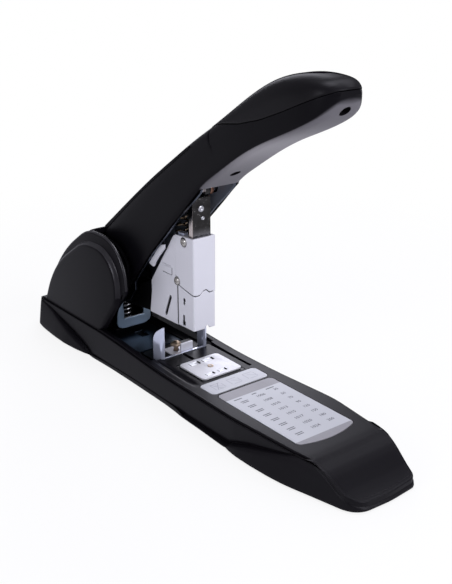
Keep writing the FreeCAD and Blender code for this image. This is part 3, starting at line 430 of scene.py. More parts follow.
def labelFinishes():
    # pale silver plate with a grey band at each end, by the X of the point
    tree, shader = newFinish("labelSilver")
    x = axisOf(tree, "X")
    start, end = labelLook["headBand"]
    head = maths(tree, "MULTIPLY", maths(tree, "LESS_THAN", x, end), maths(tree, "GREATER_THAN", x, start))
    band = maths(tree, "MAXIMUM", head, maths(tree, "GREATER_THAN", x, labelLook["footBand"]))
    lines = placeGroup(tree, "brushing", Stretch=(60, 2500, 2500), Cloud=50.0)
    fibre = between(tree, lines["Height"], (0.0, 1.0), (0.0, 0.10))
    colour = mixColour(tree, band, labelLook["paper"], labelLook["band"])
    tree.links.new(mixColour(tree, fibre, colour, labelLook["fibre"]), shader["Base Color"])
    tree.links.new(between(tree, lines["Shade"], (0.0, 1.0), (0.38, 0.5)), shader["Roughness"])
    shader["Metallic"].default_value = 0.25
    for name, ink in labelLook["inks"].items():
        tree, shader = newFinish(name)
        grain = placeGroup(tree, "mouldGrain", Scale=4000.0)
        paler = tuple(0.7 * value + 0.3 * pale for value, pale in zip(ink, labelLook["paper"]))
        tree.links.new(mixColour(tree, grain["Shade"], ink, paler), shader["Base Color"])
        shader["Roughness"].default_value = 0.5


def bladeFinish():
    # dark polished steel with bright specks, paler near the head; its narrow sides show bright ground steel
    finishes["groundBlade"] = finishes["polishedSteel"].copy()
    finishes["groundBlade"].name = "groundBlade"
    tree, shader = treeOf("groundBlade")
    place = placeOf(tree)
    specks = addNode(tree, "TexVoronoi", {"Vector": place, "Scale": 900.0}).outputs["Distance"]
    cloud = between(tree, noiseOf(tree, place, 260.0, 3.0), (0.5, 0.7))
    fleck = maths(tree, "MULTIPLY", between(tree, specks, (0.22, 0.10)), cloud)
    low = between(tree, axisOf(tree, "Z"), (0.105, 0.0975), way="SMOOTHSTEP")
    colour = mixColour(tree, low, shader["Base Color"].links[0].from_socket, (0.24, 0.235, 0.24))
    colour = mixColour(tree, fleck, colour, (0.8, 0.78, 0.76))
    side = maths(tree, "GREATER_THAN", maths(tree, "ABSOLUTE", axisOf(tree, "Y", "Normal")), 0.8)
    layer = maths(tree, "SINE", maths(tree, "MULTIPLY", axisOf(tree, "X"), 5200.0))
    ground = mixColour(tree, between(tree, layer, (-1.0, 1.0)), (0.50, 0.42, 0.38), (0.92, 0.86, 0.84))
    tree.links.new(mixColour(tree, side, colour, ground), shader["Base Color"])


labelFinishes()
bladeFinish()

finishOfSlot = {
    "black_moulding": "blackMoulding", "grip_moulding": "gripMoulding", "black_steel": "blackSteel",
    "blued_steel": "bluedSteel", "blue_grey_steel": "blueGreySteel", "bright_steel": "brightSteel",
    "spring_wire": "springWire", "bronze_wire": "bronzeWire", "black_casting": "blackCasting",
    "satin_nickel": "satinNickel", "nickel_plate": "nickelPlate", "label_silver": "labelSilver",
    "rubber": "rubberPad", "zinc_screws": "zincScrews", "chrome_plate": "chromePlate",
    "brass_screw": "brassScrew", "polished_steel": "polishedSteel", "copper_rings": "copperRings",
}
slotOfNode = {part["node"]: part["material_slot"] for part in frame["record"]["subparts"]}
bodyOfNode = {node: body for body, members in frame["record"]["behaviour"]["bodies"].items() for node in members}
for name, node in nodes.items():
    node.data.materials.clear()
    node.data.materials.append(finishes[finishOfSlot[slotOfNode[name]]])
print("finishes ready")


def smoothRows(rows, count):
    # natural cubic spline through the rows, by the distance between their first two values
    rows = np.array(rows, float)
    reach = np.concatenate([[0], np.cumsum(np.hypot(*np.diff(rows[:, :2], axis=0).T))])
    gap = np.diff(reach)
    system = np.eye(len(rows))
    inner = np.arange(1, len(rows) - 1)
    system[inner, inner - 1] = gap[:-1]
    system[inner, inner] = 2 * (gap[:-1] + gap[1:])
    system[inner, inner + 1] = gap[1:]
    bend = np.zeros_like(rows)
    bend[1:-1] = 6 * np.diff(np.diff(rows, axis=0) / gap[:, None], axis=0)
    bend = np.linalg.solve(system, bend)
    at = np.linspace(0, reach[-1], count)
    k = np.clip(np.searchsorted(reach, at, side="right") - 1, 0, len(gap) - 1)
    h = gap[k][:, None]
    a = (reach[k + 1] - at)[:, None] / h
    b = 1 - a
    return a * rows[k] + b * rows[k + 1] + ((a ** 3 - a) * bend[k] + (b ** 3 - b) * bend[k + 1]) * h ** 2 / 6


def gridFaces(rows, columns, closeRows=False, closeColumns=True):
    # quads between neighbouring rows and columns of a grid of points
    i = np.arange(rows if closeRows else rows - 1)
    j = np.arange(columns if closeColumns else columns - 1)
    a, b = np.meshgrid(i, j, indexing="ij")
    c, d = (a + 1) % rows, (b + 1) % columns
    return np.stack([a * columns + b, a * columns + d, c * columns + d, c * columns + b], -1).reshape(-1, 4)


def meshFrom(name, parts):
    # one mesh, in metres, from parts of (points, faces) in millimetres
    points, faces, base = [], [], 0
    for spots, quads in parts:
        spots = np.asarray(spots, float).reshape(-1, 3)
        points.append(spots)
        faces += [[corner + base for corner in quad] for quad in quads]
        base += len(spots)
    mesh = bpy.data.meshes.new(name)
    mesh.from_pydata((np.concatenate(points) * 0.001).tolist(), [], faces)
    return mesh


def turnOut(mesh, merge=None, sliver=None, flat=None):
    # merges doubles, takes out slivers or edges inside a flat face where asked, and turns the faces outwards
    work = bmesh.new()
    work.from_mesh(mesh)
    if merge:
        bmesh.ops.remove_doubles(work, verts=work.verts, dist=merge)
    if sliver:
        bmesh.ops.dissolve_degenerate(work, edges=work.edges, dist=sliver)
    if flat:
        bmesh.ops.dissolve_limit(work, angle_limit=math.radians(flat), verts=work.verts, edges=work.edges)
    bmesh.ops.recalc_face_normals(work, faces=work.faces)
    work.to_mesh(mesh)
    work.free()


def shadeRound(mesh, sharp):
    mesh.shade_smooth()
    mesh.set_sharp_from_angle(angle=math.radians(sharp))


def meshPiece(name, parts, body, slot, replaced=(), sharp=32.0, finish=None):
    # body is a name, or the two bodies that the piece works between and its two ends; only a name attaches it to a
    # body, otherwise its place is baked in
    mesh = meshFrom(name, parts)
    turnOut(mesh, merge=0.000004, sliver=0.000002)
    shadeRound(mesh, sharp)
    mesh.materials.append(finishes[finish or finishOfSlot[slot]])
    piece = newObject(name, mesh)
    if isinstance(body, str):
        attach(piece, body)
    else:
        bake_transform(piece)
    if replaced:
        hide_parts(*replaced)
    return piece


def capped(points):
    # a closed skin from rings of points: quads between the rings and a fan over each end
    rows, columns = points.shape[:2]
    spots = np.concatenate([points.reshape(-1, 3), points[:1].mean(1), points[-1:].mean(1)])
    j = np.arange(columns)
    k = (j + 1) % columns
    first = np.stack([np.full(columns, rows * columns), k, j], -1)
    last = np.stack([np.full(columns, rows * columns + 1), j + (rows - 1) * columns, k + (rows - 1) * columns], -1)
    return spots, gridFaces(rows, columns).tolist() + first.tolist() + last.tolist()


def walled(spots):
    # two equal rings of points, one after the other: walls between them and one flat face over each
    count = len(spots) // 2
    j = np.arange(count)
    k = (j + 1) % count
    walls = np.stack([j, k, k + count, j + count], -1).tolist()
    return spots, walls + [list(range(count))[::-1], list(range(count, 2 * count))]


def prism(loop, low, high):
    # closed upright prism over a plan outline
    loop = np.asarray(loop, float)
    return walled(np.concatenate([np.column_stack([loop, np.full(len(loop), z)]) for z in (low, high)]))


def sidePrism(loop, low, high):
    # the same over an outline in x and z, between two y
    spots, faces = prism(loop, low, high)
    return spots[:, [0, 2, 1]], faces


def box(low, high):
    (x0, y0, z0), (x1, y1, z1) = low, high
    return prism([(x0, y0), (x1, y0), (x1, y1), (x0, y1)], z0, z1)


def axesOf(way):
    # the direction and two others square to it
    way = Vector(way).normalized()
    side = np.array(way.orthogonal().normalized())
    return np.array(way), side, np.cross(np.array(way), side)


def bar(foot, way, radius, start, end, count=32):
    # closed round bar from a foot point along a direction, between two distances
    way, side, other = axesOf(way)
    angle = np.linspace(0, 2 * math.pi, count, endpoint=False)[:, None]
    ring = radius * (np.cos(angle) * side + np.sin(angle) * other)
    return walled(np.concatenate([ring + np.array(foot) + way * at for at in (start, end)]))


def turned(foot, way, profile, count=36):
    # profile of radius and distance along the axis, turned round it and closed at both ends
    way, side, other = axesOf(way)
    angle = np.linspace(0, 2 * math.pi, count, endpoint=False)[None, :, None]
    profile = np.array(profile, float)
    radius, along = profile[:, 0][:, None, None], profile[:, 1][:, None, None]
    return capped(np.array(foot) + way * along + radius * (np.cos(angle) * side + np.sin(angle) * other))


def cutHoles(piece, solids, sharp=35.0):
    # takes closed shapes away from a piece; the result becomes the piece's own mesh
    tool = newObject("holes", meshFrom("holes", solids))
    turnOut(tool.data)
    cut = piece.modifiers.new("holes", "BOOLEAN")
    cut.object = tool
    cut.solver = "EXACT"
    mesh = bpy.data.meshes.new_from_object(piece.evaluated_get(bpy.context.evaluated_depsgraph_get()))
    piece.modifiers.clear()
    piece.data = mesh
    bpy.data.objects.remove(tool)
    shadeRound(mesh, sharp)


def softenEdges(piece, width, segments=2, angle=32.0, harden=True):
    edge = piece.modifiers.new("softEdges", "BEVEL")
    edge.width = width
    edge.segments = segments
    edge.limit_method = "ANGLE"
    edge.angle_limit = math.radians(angle)
    edge.harden_normals = harden


def finishCopy(node, width=None, finish=None):
    # a merged copy of a pressed or turned piece, with its edges softened where a width is given
    piece = newObject(node + "_finished", nodes[node].data.copy())
    turnOut(piece.data, merge=0.00001, flat=1.0)
    shadeRound(piece.data, 32.0)
    if finish:
        piece.data.materials.clear()
        piece.data.materials.append(finishes[finish])
    if width:
        softenEdges(piece, width)
    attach(piece, bodyOfNode[node])
    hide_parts(node)
    return piece


def markFaces(piece, finish, chosen):
    # faces whose middle, in metres, and normal pass the test take one more finish
    piece.data.materials.append(finishes[finish])
    for face in piece.data.polygons:
        if chosen(face.center, face.normal):
            face.material_index = len(piece.data.materials) - 1


def roundedLoop(corners, inset, arcPoints=10, straightPoints=6, least=0.3):
    # closed outline through corners (u, v, radius), moved inwards by the inset, with arcs at the corners
    corners = np.array(corners, float)
    spots, radii = corners[:, :2], corners[:, 2]
    along = np.roll(spots, -1, axis=0) - spots
    along /= np.linalg.norm(along, axis=1)[:, None]
    inward = inwardOf(spots, along)
    before, turn = np.roll(along, 1, axis=0), np.roll(inward, 1, axis=0)
    cosine = np.clip(np.sum(turn * inward, axis=1), -1, 1)
    shifted = spots + inset * (turn + inward) / (1 + cosine)[:, None]
    radius = np.maximum(radii - inset, least)
    half = np.arccos(cosine) / 2
    reach = radius * np.tan(half)
    centre = shifted + (turn + inward) / (1 + cosine)[:, None] * radius[:, None]
    start, end = shifted - before * reach[:, None], shifted + along * reach[:, None]
    share = np.linspace(0, 1, arcPoints)[None, :, None]
    a, b = start - centre, end - centre
    sweep = np.maximum(2 * half, 1e-6)[:, None, None]
    arcs = np.sin((1 - share) * sweep) * a[:, None] + np.sin(share * sweep) * b[:, None]
    arcs = centre[:, None] + arcs / np.sin(sweep)
    step = np.linspace(0, 1, straightPoints + 2)[1:-1][None, :, None]
    straights = end[:, None] + (np.roll(start, -1, axis=0) - end)[:, None] * step
    return np.concatenate([arcs, straights], 1).reshape(-1, 2)


def inwardOf(loop, along):
    # the direction into a closed outline at each point, whichever way it runs
    area = np.sum(loop[:, 0] * np.roll(loop[:, 1], -1) - np.roll(loop[:, 0], -1) * loop[:, 1])
    return np.stack([-along[:, 1], along[:, 0]], -1) * np.sign(area)


# rows along the lever: top x, z, underside x, z, half width, exponents of the upper and lower rounding
leverRows = [
    (-87.4, 89.7, -66.8, 43.0, 14.5, 5.0, 12.0),
    (-63.0, 108.6, -42.0, 72.3, 14.5, 5.0, 12.0),
    (-36.1, 128.7, -16.3, 99.4, 14.5, 4.8, 11.0),
    (-11.0, 146.2, 3.8, 118.9, 14.5, 4.4, 10.0),
    (11.4, 161.2, 22.0, 136.1, 14.7, 3.9, 9.5),
    (23.8, 169.1, 33.6, 144.1, 15.0, 3.4, 9.0),
    (45.0, 183.3, 53.6, 156.8, 15.7, 2.9, 8.0),
    (68.0, 196.9, 73.5, 167.0, 16.0, 2.8, 7.0),
    (90.0, 202.9, 92.2, 175.2, 16.0, 3.2, 6.0),
    (104.2, 202.9, 104.6, 181.6, 14.6, 3.0, 5.0),
    (111.6, 201.4, 111.4, 186.8, 11.2, 2.7, 4.0),
    (115.4, 198.8, 115.4, 191.9, 6.6, 2.4, 3.0),
]
seamLine = np.array([
    (-200.0, 260.0), (23.6, 192.0), (24.0, 167.0), (28.0, 168.9), (35.8, 171.6), (44.0, 173.0), (53.1, 174.5),
    (69.4, 179.0), (86.2, 185.4), (101.3, 191.9), (109.0, 195.2), (114.0, 197.4), (125.0, 200.0),
])
leverHoles = [((31.2, 142.2), 37.0, 4.5), ((111.8, 187.6), 42.0, 4.5)]      # x and z, lean, depth
leverShape = {
    "stations": 150, "flank": 34, "roof": 8, "across": 5,
    "wall": 1.1, "openUntil": 18.0,      # x of the underside where the open channel of the lever ends
    "seamGap": 0.16, "gripProud": 0.22,
}


def leverSections():
    # half outline of each cross-section, from the middle of the underside to the middle of the top
    rows = smoothRows(leverRows, leverShape["stations"])
    foot = np.stack([rows[:, 2], rows[:, 3]], -1)
    rise = np.stack([rows[:, 0], rows[:, 1]], -1) - foot
    t = np.linspace(-math.pi / 2, math.pi / 2, 241)[None, :]
    power = np.where(t > 0, rows[:, 5:6], rows[:, 6:7])
    middle = 0.45
    side = rows[:, 4:5] * np.abs(np.cos(t)) ** (2 / power)
    lift = np.where(t > 0, middle + (1 - middle) * np.abs(np.sin(t)) ** (2 / power),
                    middle - middle * np.abs(np.sin(t)) ** (2 / power))
    # the seam's height is where the line from the underside to the top crosses the seam line
    share = np.linspace(0, 1, 801)[None, :]
    x = foot[:, :1] + rise[:, :1] * share
    z = foot[:, 1:] + rise[:, 1:] * share
    above = z > np.interp(x, seamLine[:, 0], seamLine[:, 1])
    seam = np.where(above.any(1), share[0, np.argmax(above, 1)], 1.0)
    return rows, foot, rise, side, lift, seam


def sectionPoints(foot, rise, side, lift):
    # a point of a section is its foot, plus its share of the rise, plus its own y
    return np.stack([foot[0] + rise[0] * lift, side, foot[1] + rise[1] * lift], -1)


def bothSides(half):
    # the near half of a ring and then its mirror image, run backwards
    return np.concatenate([half, half[::-1] * (1, -1, 1)])


def runAlong(side, lift, length):
    # the distance along a half section, from the middle of its underside
    return np.concatenate([[0], np.cumsum(np.hypot(np.diff(side), np.diff(lift) * length))])


def leverBores():
    # foot, direction and depth of the two screw bores in the lever's underside
    for (x, z), lean, depth in leverHoles:
        yield (x, 0, z), (-math.sin(math.radians(lean)), 0, math.cos(math.radians(lean))), depth


def buildLeverShell():
    rows, foot, rise, side, lift, seam = leverSections()
    rings = []
    for k in range(len(rows)):
        length = np.hypot(*rise[k])
        run = runAlong(side[k], lift[k], length)
        lip = np.interp(rows[k, 4] - leverShape["wall"], side[k, :121], run[:121])
        top = run[-1] if seam[k] >= 1 else np.interp(seam[k] - leverShape["seamGap"] / length, lift[k], run)
        at = np.linspace(lip, top, leverShape["flank"])
        outY, outL = np.interp(at, run, side[k]), np.interp(at, run, lift[k])
        acrossY = np.linspace(outY[-1], 0, leverShape["across"] + 1)[1:]
        roofLift = 1 - 2.6 / length
        inner = rows[k, 4] - leverShape["wall"]
        if foot[k, 0] < leverShape["openUntil"]:
            inY = np.concatenate([np.linspace(0, inner, 4), np.full(leverShape["roof"] - 4, inner)])
            inL = np.concatenate([np.full(4, roofLift), np.linspace(roofLift, 0.0, leverShape["roof"] - 3)[1:]])
        else:
            inY = np.linspace(0, inner, leverShape["roof"] + 1)[:-1]
            inL = np.interp(inY, side[k, :121], lift[k, :121])
        halfRing = sectionPoints(foot[k], rise[k], np.concatenate([inY, outY, acrossY]),
                                 np.concatenate([inL, outL, np.full(leverShape["across"], outL[-1])]))
        rings.append(bothSides(halfRing))
    parts = [capped(np.array(rings))]
    # drum round the hub shaft: a flat disc on each side with a rounded rim, as rings about the shaft
    profile = np.array([(5.0, 12.7), (20.6, 12.7), (21.3, 13.3), (21.3, 13.9), (20.7, 14.5), (5.0, 14.5)])
    angle = np.linspace(0, 2 * math.pi, 73)[:-1][:, None]
    for sign in (-1, 1):
        ring = np.stack([-79.5 + profile[:, 0] * np.cos(angle), sign * profile[:, 1] + 0 * angle,
                         60.0 + profile[:, 0] * np.sin(angle)], -1)
        parts.append((ring, gridFaces(72, 6, True, True)))
    shell = meshPiece("lever_moulding", parts, "lever", "black_moulding", ["lever_shell"], sharp=38)
    cutHoles(shell, [bar(start, way, 3.1, -5, depth) for start, way, depth in leverBores()], 38)


def buildGrip():
    rows, foot, rise, side, lift, seam = leverSections()
    rings = []
    for k in np.nonzero(seam < 0.985)[0]:
        length = np.hypot(*rise[k])
        run = runAlong(side[k], lift[k], length)
        start = np.interp(seam[k] + leverShape["seamGap"] / length, lift[k], run)
        edge = np.array([0.0, 0.35, 0.75, 1.2])
        at = np.concatenate([start + edge, np.linspace(start + 2.0, run[-1], 34)])
        proud = leverShape["gripProud"] * np.concatenate([[-1.2, 0.2, 0.8, 1.0], np.ones(34)])
        outY, outL = np.interp(at, run, side[k]), np.interp(at, run, lift[k])
        outY = np.where(outY > 0.5, outY + proud * np.minimum(outY / 10, 1), outY)
        outL = outL + np.clip((outL - 0.6) / 0.4, 0, 1) * leverShape["gripProud"] / length
        acrossY = np.linspace(0, outY[0], 7)[:-1]
        rings.append(bothSides(sectionPoints(foot[k], rise[k], np.concatenate([acrossY, outY]),
                                             np.concatenate([np.full(6, outL[0]), outL]))))
    meshPiece("grip_cover", [capped(np.array(rings))], "lever", "grip_moulding", ["grip_insert"], sharp=40)


hubShape = {
    # corners of the outline and of the raised face: x, z, radius
    "corners": [(-153.0, 0.0, 0.3), (-153.0, 20.6, 0.3), (-130.4, 59.7, 120.0), (-90.9, 86.3, 36.0),
                (-49.0, 86.3, 27.0), (-46.0, 54.9, 6.0), (-77.1, 19.6, 0.3), (-94.3, 0.0, 0.3)],
    "face": [(-151.0, -20.0, 0.3), (-151.0, 15.5, 0.3), (-134.5, 49.5, 80.0), (-92.0, 77.3, 40.0),
             (-53.6, 77.3, 22.0), (-54.5, 47.5, 12.0), (-76.8, 19.6, 0.3), (-106.0, -20.0, 0.3)],
    "floor": 21.6,
    # inset and y from the hidden inner edge over the flat ring, with the share of the front taper
    "ring": [(2.4, 19.1, 1.0), (0.15, 19.1, 1.0), (0.0, 19.4, 1.0), (0.0, 22.4, 0.0), (0.0, 23.2, 0.0),
             (0.25, 24.0, 0.0), (0.9, 24.5, 0.0), (2.0, 24.6, 0.0)],
    # inset from the face's outline and y, from the foot of the step over its round edge to the flat face
    "step": [(-2.3, 24.6), (-1.95, 24.7), (-1.6, 25.1), (-1.2, 25.9), (-0.7, 26.7), (0.0, 27.3), (0.9, 27.55),
             (2.0, 27.6), (7.0, 27.6)],
    "taper": 4.5,
}


def cutBelow(loop, floor):
    # points below the floor are laid on it, between the two places where the outline crosses it
    above = np.nonzero(loop[:, 1] > floor)[0]
    ends = []
    for inside, outside in ((above[0], above[0] - 1), (above[-1], (above[-1] + 1) % len(loop))):
        (x0, z0), (x1, z1) = loop[outside], loop[inside]
        ends.append(x0 + (floor - z0) / (z1 - z0) * (x1 - x0))
    x = np.where(loop[:, 1] > floor, loop[:, 0], np.clip(loop[:, 0], *sorted(ends)))
    return x, np.maximum(loop[:, 1], floor)


def buildHubCovers():
    # the outline is drawn in by each inset and set at that inset's y; the last ring is closed with a fan
    rings = []
    for inset, y, taper in hubShape["ring"]:
        loop = roundedLoop(hubShape["corners"], inset, 14, 6)
        inner = roundedLoop(hubShape["corners"], inset + hubShape["taper"], 14, 6)
        share = taper * np.clip((loop[:, :1] + 95.0) / 20.0, 0, 1)
        rings.append((loop + (inner - loop) * share, y))
    rings += [(roundedLoop(hubShape["face"], inset, 14, 6), y) for inset, y in hubShape["step"]]
    cut = [(cutBelow(loop, hubShape["floor"]), y) for loop, y in rings]
    rings = np.array([np.stack([x, np.full(len(x), y), z], -1) for (x, z), y in cut])
    for sign, node in ((1, "hub_cover_left"), (-1, "hub_cover_right")):
        side = rings * (1, sign, 1)
        cover = meshPiece(node + "_moulding", [capped(side)], "base", "black_moulding", [node], sharp=45,
                          finish="hubMoulding")
        # the inner wall of the ring, in the gap by the lever, takes the darker copy as painted shade
        markFaces(cover, "deepMoulding", lambda spot, normal: abs(spot.y) < 0.0228)
        # the rounded step and the rounded rim take a paler, glossier copy of the moulding as a painted highlight, but
        # not where they look down
        markFaces(cover, "shoulderMoulding", lambda spot, normal: normal.z > -0.1 and (
            0.0249 < abs(spot.y) < 0.0272 or 0.0235 < abs(spot.y) < 0.02435))


def buildDome():
    # outline of the hub, outer and inner, carried from side to side; it ends above the lever's back
    low = roundedLoop(hubShape["corners"], 0.5, 24, 10)
    high = roundedLoop(hubShape["corners"], -0.6, 24, 10)
    share = np.clip((low[:, :1] + 136.0) / 30.0, 0, 1)
    outer = low + (high - low) * share * share * (3 - 2 * share)
    inner = roundedLoop(hubShape["corners"], 2.9, 24, 10)
    keep = (outer[:, 0] < -88.8) & (outer[:, 1] > hubShape["floor"])
    section = np.concatenate([outer[keep], inner[keep][::-1]])
    section[:, 1] = np.maximum(section[:, 1], hubShape["floor"])
    across = np.array([-18.9, -18.6, -17.0, -9.0, 0.0, 9.0, 17.0, 18.6, 18.9])
    drop = np.array([0.35, 0.08, 0.0, 0.0, 0.0, 0.0, 0.0, 0.08, 0.35])
    rings = np.stack([np.broadcast_to(section[:, 0], (9, len(section))) + drop[:, None] * 0.5,
                      np.broadcast_to(across[:, None], (9, len(section))),
                      section[:, 1][None, :] - drop[:, None]], -1)
    meshPiece("hub_back", [capped(rings)], "base", "black_moulding", ["hub_dome"], sharp=40, finish="hubMoulding")


baseShape = {
    "half": 158.0, "rim": 2.4,
    # heights by x: the deck, the crease over the feet and the lower edge; and how far the feet stand out
    "deck": [(-160, 19.0), (-157, 20.4), (-153, 21.6), (-148, 22.0), (-72, 22.0), (-52, 21.0), (-35, 19.8),
             (-18, 18.8), (-4, 18.2), (10, 18.0), (120, 18.0), (125, 17.8), (129, 17.2), (134, 15.5), (138, 13.6),
             (142, 11.3), (146, 9.1), (150, 7.3), (153, 6.1), (156, 5.0), (160, 4.2)],
    "crease": [(-160, 20.5), (-147, 18.8), (-135, 16.4), (-125, 13.4), (-113, 10.2), (-104, 7.7), (-95, 5.0),
               (-90, 3.0), (-87, 1.3), (-85, 0.6), (62, 0.6),
               (64, 1.2), (67, 3.2), (80, 7.2), (93, 10.4), (108, 14.2), (118, 17.2), (123, 18.5), (160, 18.5)],
    "spread": [(-160, 2.2), (-150, 2.8), (-142, 3.4), (-128, 4.4), (-114, 4.8), (-100, 3.7), (-90, 2.0), (-86, 0.9),
               (-60, 0.1), (0, 0.2), (12, 0.8), (20, 1.6), (42, 2.1), (60, 2.8), (64, 3.2), (68, 4.2), (74, 5.3),
               (84, 6.1), (101, 6.1), (110, 5.6), (118, 4.8), (125, 3.8), (132, 2.9), (140, 1.9), (148, 0.9),
               (160, 0.7)],
    "lower": [(-160, 4.0), (-155, 2.2), (-148, 0.8), (-140, 0.6), (-86, 0.6), (-83, 1.4), (-60, 2.3), (-30, 2.7),
              (0, 2.5), (18, 2.3), (19.5, 0.6), (160, 0.6)],
    "holes": [(-112.0, -21.0, -24.0, 24.0), (-6.7, 21.9, -15.5, 15.5), (-22.0, 20.0, 20.2, 22.2),
              (-21.0, -8.0, -2.4, -0.2)],
    "channel": (19.0, 19.6, 20.2, 22.0, 22.8, 23.6),
    "panel": (-21.0, 20.2, 18.0),      # rear edge, half width and height of the flat panel round the anvil
}


def baseCorners():
    # the far side swells before the toe and is drawn in more there than the near side
    far = [(-156.2, 29.0, 5.0), (-40.0, 28.8, 400.0), (35.0, 29.6, 200.0), (82.0, 32.4, 80.0), (126.0, 26.7, 120.0),
           (153.9, 20.0, 5.5)]
    near = [(154.3, -23.3, 10.5), (110.0, -27.5, 200.0), (66.0, -30.0, 90.0), (-40.0, -28.8, 400.0),
            (-156.2, -29.0, 5.0)]
    return far + [(155.6, 0.0, 70.0)] + near


def alongX(table, x):
    table = np.array(baseShape[table], float)
    fine = np.linspace(-165, 165, 661)
    level = np.interp(fine, table[:, 0], table[:, 1])
    kernel = np.hanning(9)
    level = np.convolve(np.pad(level, 4, "edge"), kernel / kernel.sum(), "valid")
    return np.interp(x, fine, level)


def buildBaseRim():
    # a profile carried round the outline: groove and bead at the deck's edge, the side wall with its
    # feet standing out below the crease, the lower edge, and back up inside to the deck's underside
    outline = roundedLoop(baseCorners(), 0.0, 16, 26)
    keepX = outline[:, 0]
    # outward direction of the outline at each point, for moving it by the inset
    ahead = np.roll(outline, -1, axis=0) - np.roll(outline, 1, axis=0)
    ahead /= np.linalg.norm(ahead, axis=1)[:, None]
    inward = inwardOf(outline, ahead)
    top = alongX("deck", keepX)
    toe = np.clip((keepX - 128.0) / 14.0, 0, 1)
    crease = np.minimum(alongX("crease", keepX), top - 1.6 - 1.6 * toe)
    spread = np.minimum(alongX("spread", keepX), 34.9 - np.abs(outline[:, 1]))
    low = alongX("lower", keepX)
    groove = np.clip((124.0 - keepX) / 5.0, 0, 1) * np.clip((keepX + 154.0) / 3.0, 0, 1)
    rows = []

    def addRow(inset, z):
        inset = np.broadcast_to(inset, keepX.shape)
        rows.append((inset, np.broadcast_to(z, keepX.shape)))

    rim = baseShape["rim"]
    # the deck's edge, a groove, and a bead lower than the deck; round the toe both fade into a plain edge
    for inset, plain, drop in (
            (rim, rim, 0.0), (1.9, 2.15, 0.02), (1.6, 1.95, 0.1), (1.4, 1.8, 0.35), (1.3, 1.7, 1.2),
            (1.28, 1.6, 2.2), (0.98, 1.5, 2.3), (0.78, 1.4, 2.1), (0.72, 1.3, 1.5), (0.62, 1.15, 1.12),
            (0.4, 1.0, 1.0)):
        inset = inset * groove + plain * (1 - groove)
        addRow(inset, alongX("deck", keepX + inward[:, 0] * inset) + 0.015 - drop * groove)
    soft = np.clip((keepX - 118.0) / 14.0, 0, 1)
    reach = 0.4 * groove + (1.0 - 0.5 * soft) * (1 - groove)
    rear = np.clip((-149.0 - keepX) / 5.0, 0, 1)
    fall = 0.55 * groove + (1.3 - 0.6 * soft + 1.0 * rear) * (1 - groove)
    edge = alongX("deck", keepX + inward[:, 0]) + 0.015 - groove
    for angle in np.linspace(15, 90, 6):
        turn = math.radians(angle)
        addRow(reach * (1 - math.sin(turn)), edge - fall * (1 - math.cos(turn)))
    for share in np.linspace(0.15, 1.0, 6):
        addRow(0.0, (edge - fall) * (1 - share) + (crease + 1.5) * share)

    def standOut(z):
        return spread * np.clip(1 - (z - 0.6) / (top - 0.6), 0, 1) ** 0.9

    # the fold over a foot: a little undercut in the wall, then out to the foot's rounded shoulder
    stand = standOut(crease)
    fold = np.clip(stand / 1.2 - 0.2, 0, 1)
    addRow(0.45 * fold, crease + 0.95)
    addRow(0.62 * fold, crease + 0.6)
    addRow(0.35 * fold - 0.08 * stand, crease + 0.4)
    addRow(-0.5 * stand, crease + 0.25)
    addRow(-0.85 * stand, crease - 0.02)
    addRow(-0.98 * stand, crease - 0.5)
    for share in np.linspace(0.12, 1.0, 7):
        z = (crease - 0.5) * (1 - share) + (low + 0.5) * share
        addRow(-standOut(z), z)
    addRow(-standOut(low) + 0.15, low + 0.12)
    addRow(-standOut(low) + 0.5, low)
    addRow(-standOut(low) + 2.2, low)
    addRow(2.4, np.maximum(low + 1.0, 1.7))
    addRow(2.5, np.maximum(top - 3.4, 1.9))
    addRow(rim + 0.6, np.maximum(top - 2.9, 2.1))
    addRow(rim + 0.6, top - 0.6)

    grid = np.array([np.column_stack([outline + inward * inset[:, None], z]) for inset, z in rows])
    limit = baseShape["half"]
    grid[..., 0] = np.clip(grid[..., 0], -limit, limit)
    faces = gridFaces(len(rows), len(outline), True, True)
    meshPiece("base_rim", [(grid, faces)], "base", "black_moulding", ["base_shell"], sharp=50,
              finish="baseMoulding")


